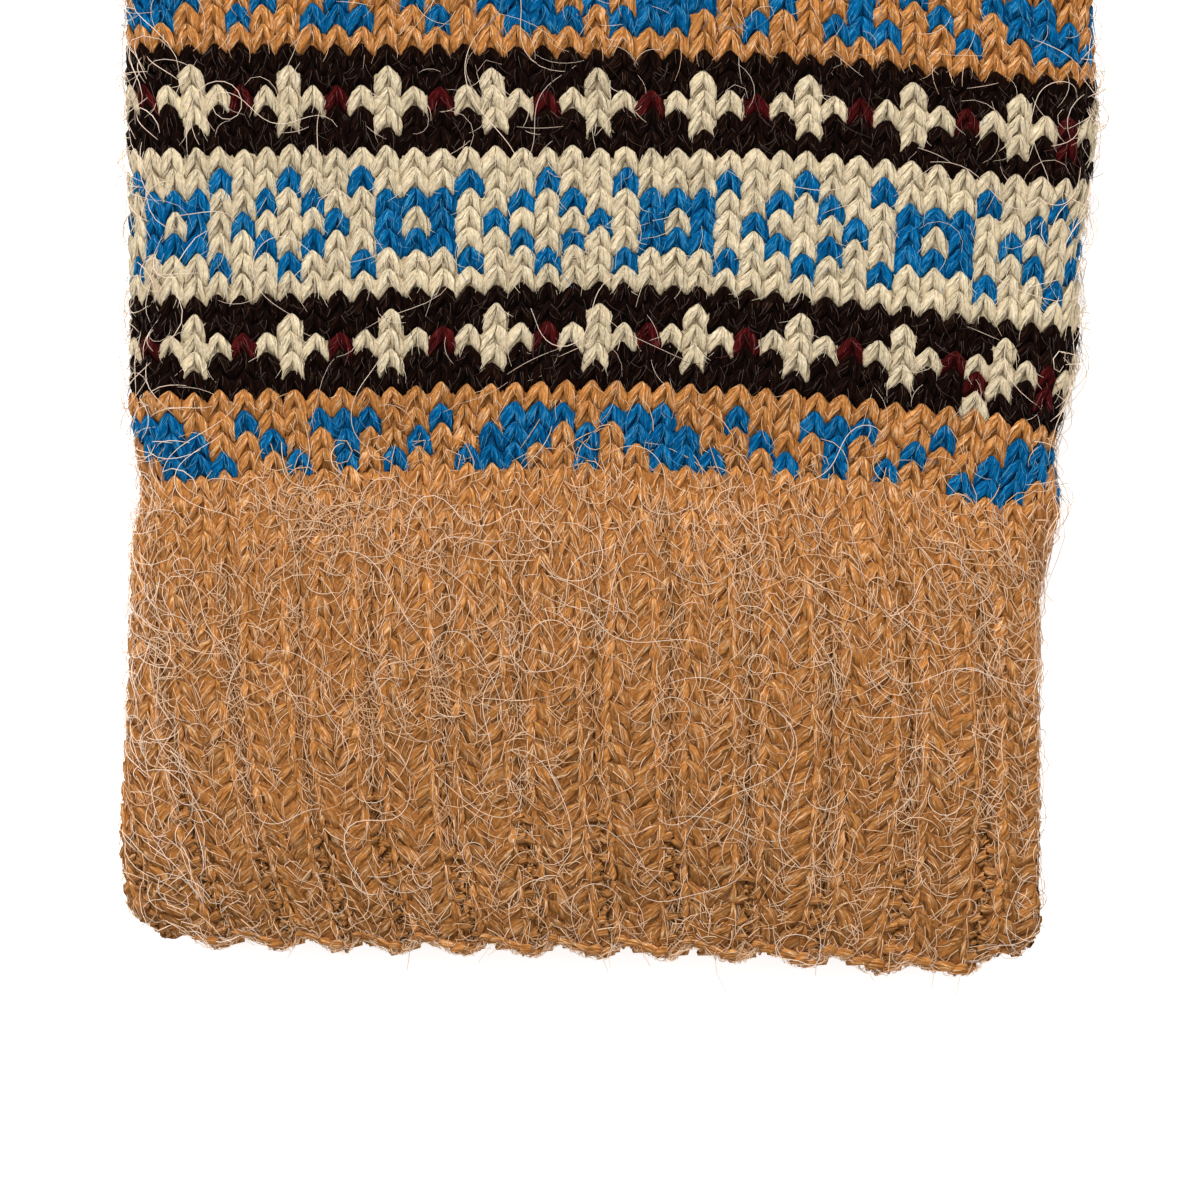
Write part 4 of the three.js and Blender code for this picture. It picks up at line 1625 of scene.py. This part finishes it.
class GLOVE_OT_knit_digits(bpy.types.Operator):
    """Knits the thumb and the four fingers, each a tube that closes on a round tip"""

    bl_idname = "glove.knit_digits"
    bl_label = "Knit the thumb and fingers"

    def execute(self, context):
        sizes = context.scene.glove_sizes
        row = sizes.pattern_row / MM
        for index, (name, left, right, length, lean, tip, side) in enumerate(DIGITS):
            random = np.random.default_rng(sizes.seed + 3 + index)
            line = thumb_line if name == "thumb" else finger_line
            tube = DigitTube(left, right, length, lean, tip, side, line)
            strands = Strands()
            for top in np.arange(row * 0.6, tube.skin_length - 0.4 * row, row):
                tube.count = float(tube.columns(np.array(top)))
                column = np.arange(tube.count) - tube.count / 2 + 0.5
                add_stitches(strands, tube, PLAIN, random, column, top, row, tone=PLAIN_TONE)
            dress(strands.put(f"{name}_stitches"), yarn_paint(CAMEL), "camel_wool", name)
            tube.count = DIGIT_SIDES
            around = np.arange(DIGIT_SIDES) - DIGIT_SIDES / 2
            over_tip = tube.bend + TIP_LENGTH * np.linspace(0.2, 1.5, 6)
            heights = np.concatenate((np.linspace(0.2, tube.bend, 10), over_tip))
            ground = add_closed_shell(f"{name}_ground", tube, around, heights, DIGIT_WEB)
            colour_corners(ground, shaded_web_colours()[CAMEL])
            dress(ground, ground_paint(), "camel_wool", name)
        return {"FINISHED"}


class GLOVE_OT_raise_hairs(bpy.types.Operator):
    """Raises long curly hairs over cuff and wrist, short fuzz on the cuff, and wisps at the edges"""

    bl_idname = "glove.raise_hairs"
    bl_label = "Raise the stray hairs"

    def execute(self, context):
        hairs = Hairs(context.scene.glove_sizes)
        dress(hairs.strays().put("stray_hairs"), hair_paint(), "cream_wool")
        dress(hairs.fuzz().put("cuff_fuzz"), fibre_paint(CAMEL), "camel_wool")
        dress(hairs.wisps().put("edge_wisps"), hair_paint(), "cream_wool")
        return {"FINISHED"}


class GLOVE_OT_set_stage(bpy.types.Operator):
    """Lays the pale floor, hangs the soft lights and sets the camera straight above the glove"""

    bl_idname = "glove.set_stage"
    bl_label = "Set the stage"

    def execute(self, context):
        studio = context.scene.glove_studio
        corners = FLOOR_HALF * np.array(((-1, -1, 0), (1, -1, 0), (1, 1, 0), (-1, 1, 0)))
        floor = link("floor", new_mesh("floor", corners, np.arange(4), np.array((0,))))
        paint = Paint("pale_floor")
        white = (0.93, 0.93, 0.93, 1)
        floor.data.materials.append(paint.finish(
            Base_Color=white, Roughness=0.9,
            Emission_Color=white, Emission_Strength=studio.floor_glow,
        ))
        world = bpy.data.worlds.new("studio")
        world.use_nodes = True
        sky = world.node_tree.nodes["Background"].inputs
        sky["Color"].default_value = (1, 1, 1, 1)
        sky["Strength"].default_value = studio.fill
        context.scene.world = world
        for name, place, size, power in (
            ("key_light", (-0.1, 0.7, 0.7), 0.6, studio.key),
            ("top_light", (-0.2, -0.1, 1.5), 1.2, studio.key * 0.25),
        ):
            lamp = bpy.data.lights.new(name, "AREA")
            lamp.size, lamp.energy = size, power
            light = bpy.data.objects.new(name, lamp)
            light.location = place
            light.rotation_euler = (-light.location).to_track_quat("-Z", "Y").to_euler()
            context.scene.collection.objects.link(light)
        camera = bpy.data.objects.new("camera", bpy.data.cameras.new("camera"))
        camera.location = (ORIGIN[0] * MM, (ORIGIN[1] + VIEW_MIDDLE) * MM, studio.camera_height)
        distance = studio.camera_height - BACK_HEIGHT
        camera.data.lens = camera.data.sensor_width * distance / studio.view_width
        camera.data.clip_start, camera.data.clip_end = 0.1, 10
        context.scene.collection.objects.link(camera)
        context.scene.camera = camera
        context.scene.view_settings.view_transform = "Standard"
        return {"FINISHED"}


class VIEW3D_PT_knit_glove(bpy.types.Panel):
    """Settings and steps of the knit glove"""

    bl_idname = "VIEW3D_PT_knit_glove"
    bl_label = "Knit Glove"
    bl_space_type = "VIEW_3D"
    bl_region_type = "UI"
    bl_category = "Knit Glove"

    def draw(self, context):
        scene = context.scene
        for settings in (scene.glove_yarns, scene.glove_sizes, scene.glove_studio):
            box = self.layout.box()
            for name in settings.bl_rna.properties.keys():
                if name not in ("rna_type", "name"):
                    box.prop(settings, name)
        for operator in OPERATORS:
            self.layout.operator(operator.bl_idname)


SETTINGS = (
    ("glove_yarns", KnitYarns),
    ("glove_sizes", KnitSizes),
    ("glove_studio", StudioSetup),
)
OPERATORS = (
    GLOVE_OT_knit_cuff,
    GLOVE_OT_knit_wrist,
    GLOVE_OT_knit_hand,
    GLOVE_OT_knit_digits,
    GLOVE_OT_raise_hairs,
    GLOVE_OT_set_stage,
)


def register():
    for name, group in SETTINGS:
        bpy.utils.register_class(group)
        setattr(bpy.types.Scene, name, PointerProperty(type=group))
    for kind in (*OPERATORS, VIEW3D_PT_knit_glove):
        bpy.utils.register_class(kind)


def unregister():
    for kind in reversed((*OPERATORS, VIEW3D_PT_knit_glove)):
        bpy.utils.unregister_class(kind)
    for name, group in reversed(SETTINGS):
        delattr(bpy.types.Scene, name)
        bpy.utils.unregister_class(group)


def main():
    """Makes the whole glove and its stage."""
    register()
    bpy.ops.glove.knit_cuff()
    bpy.ops.glove.knit_wrist()
    bpy.ops.glove.knit_hand()
    bpy.ops.glove.knit_digits()
    bpy.ops.glove.raise_hairs()
    bpy.ops.glove.set_stage()


if __name__ == "__main__":
    main()
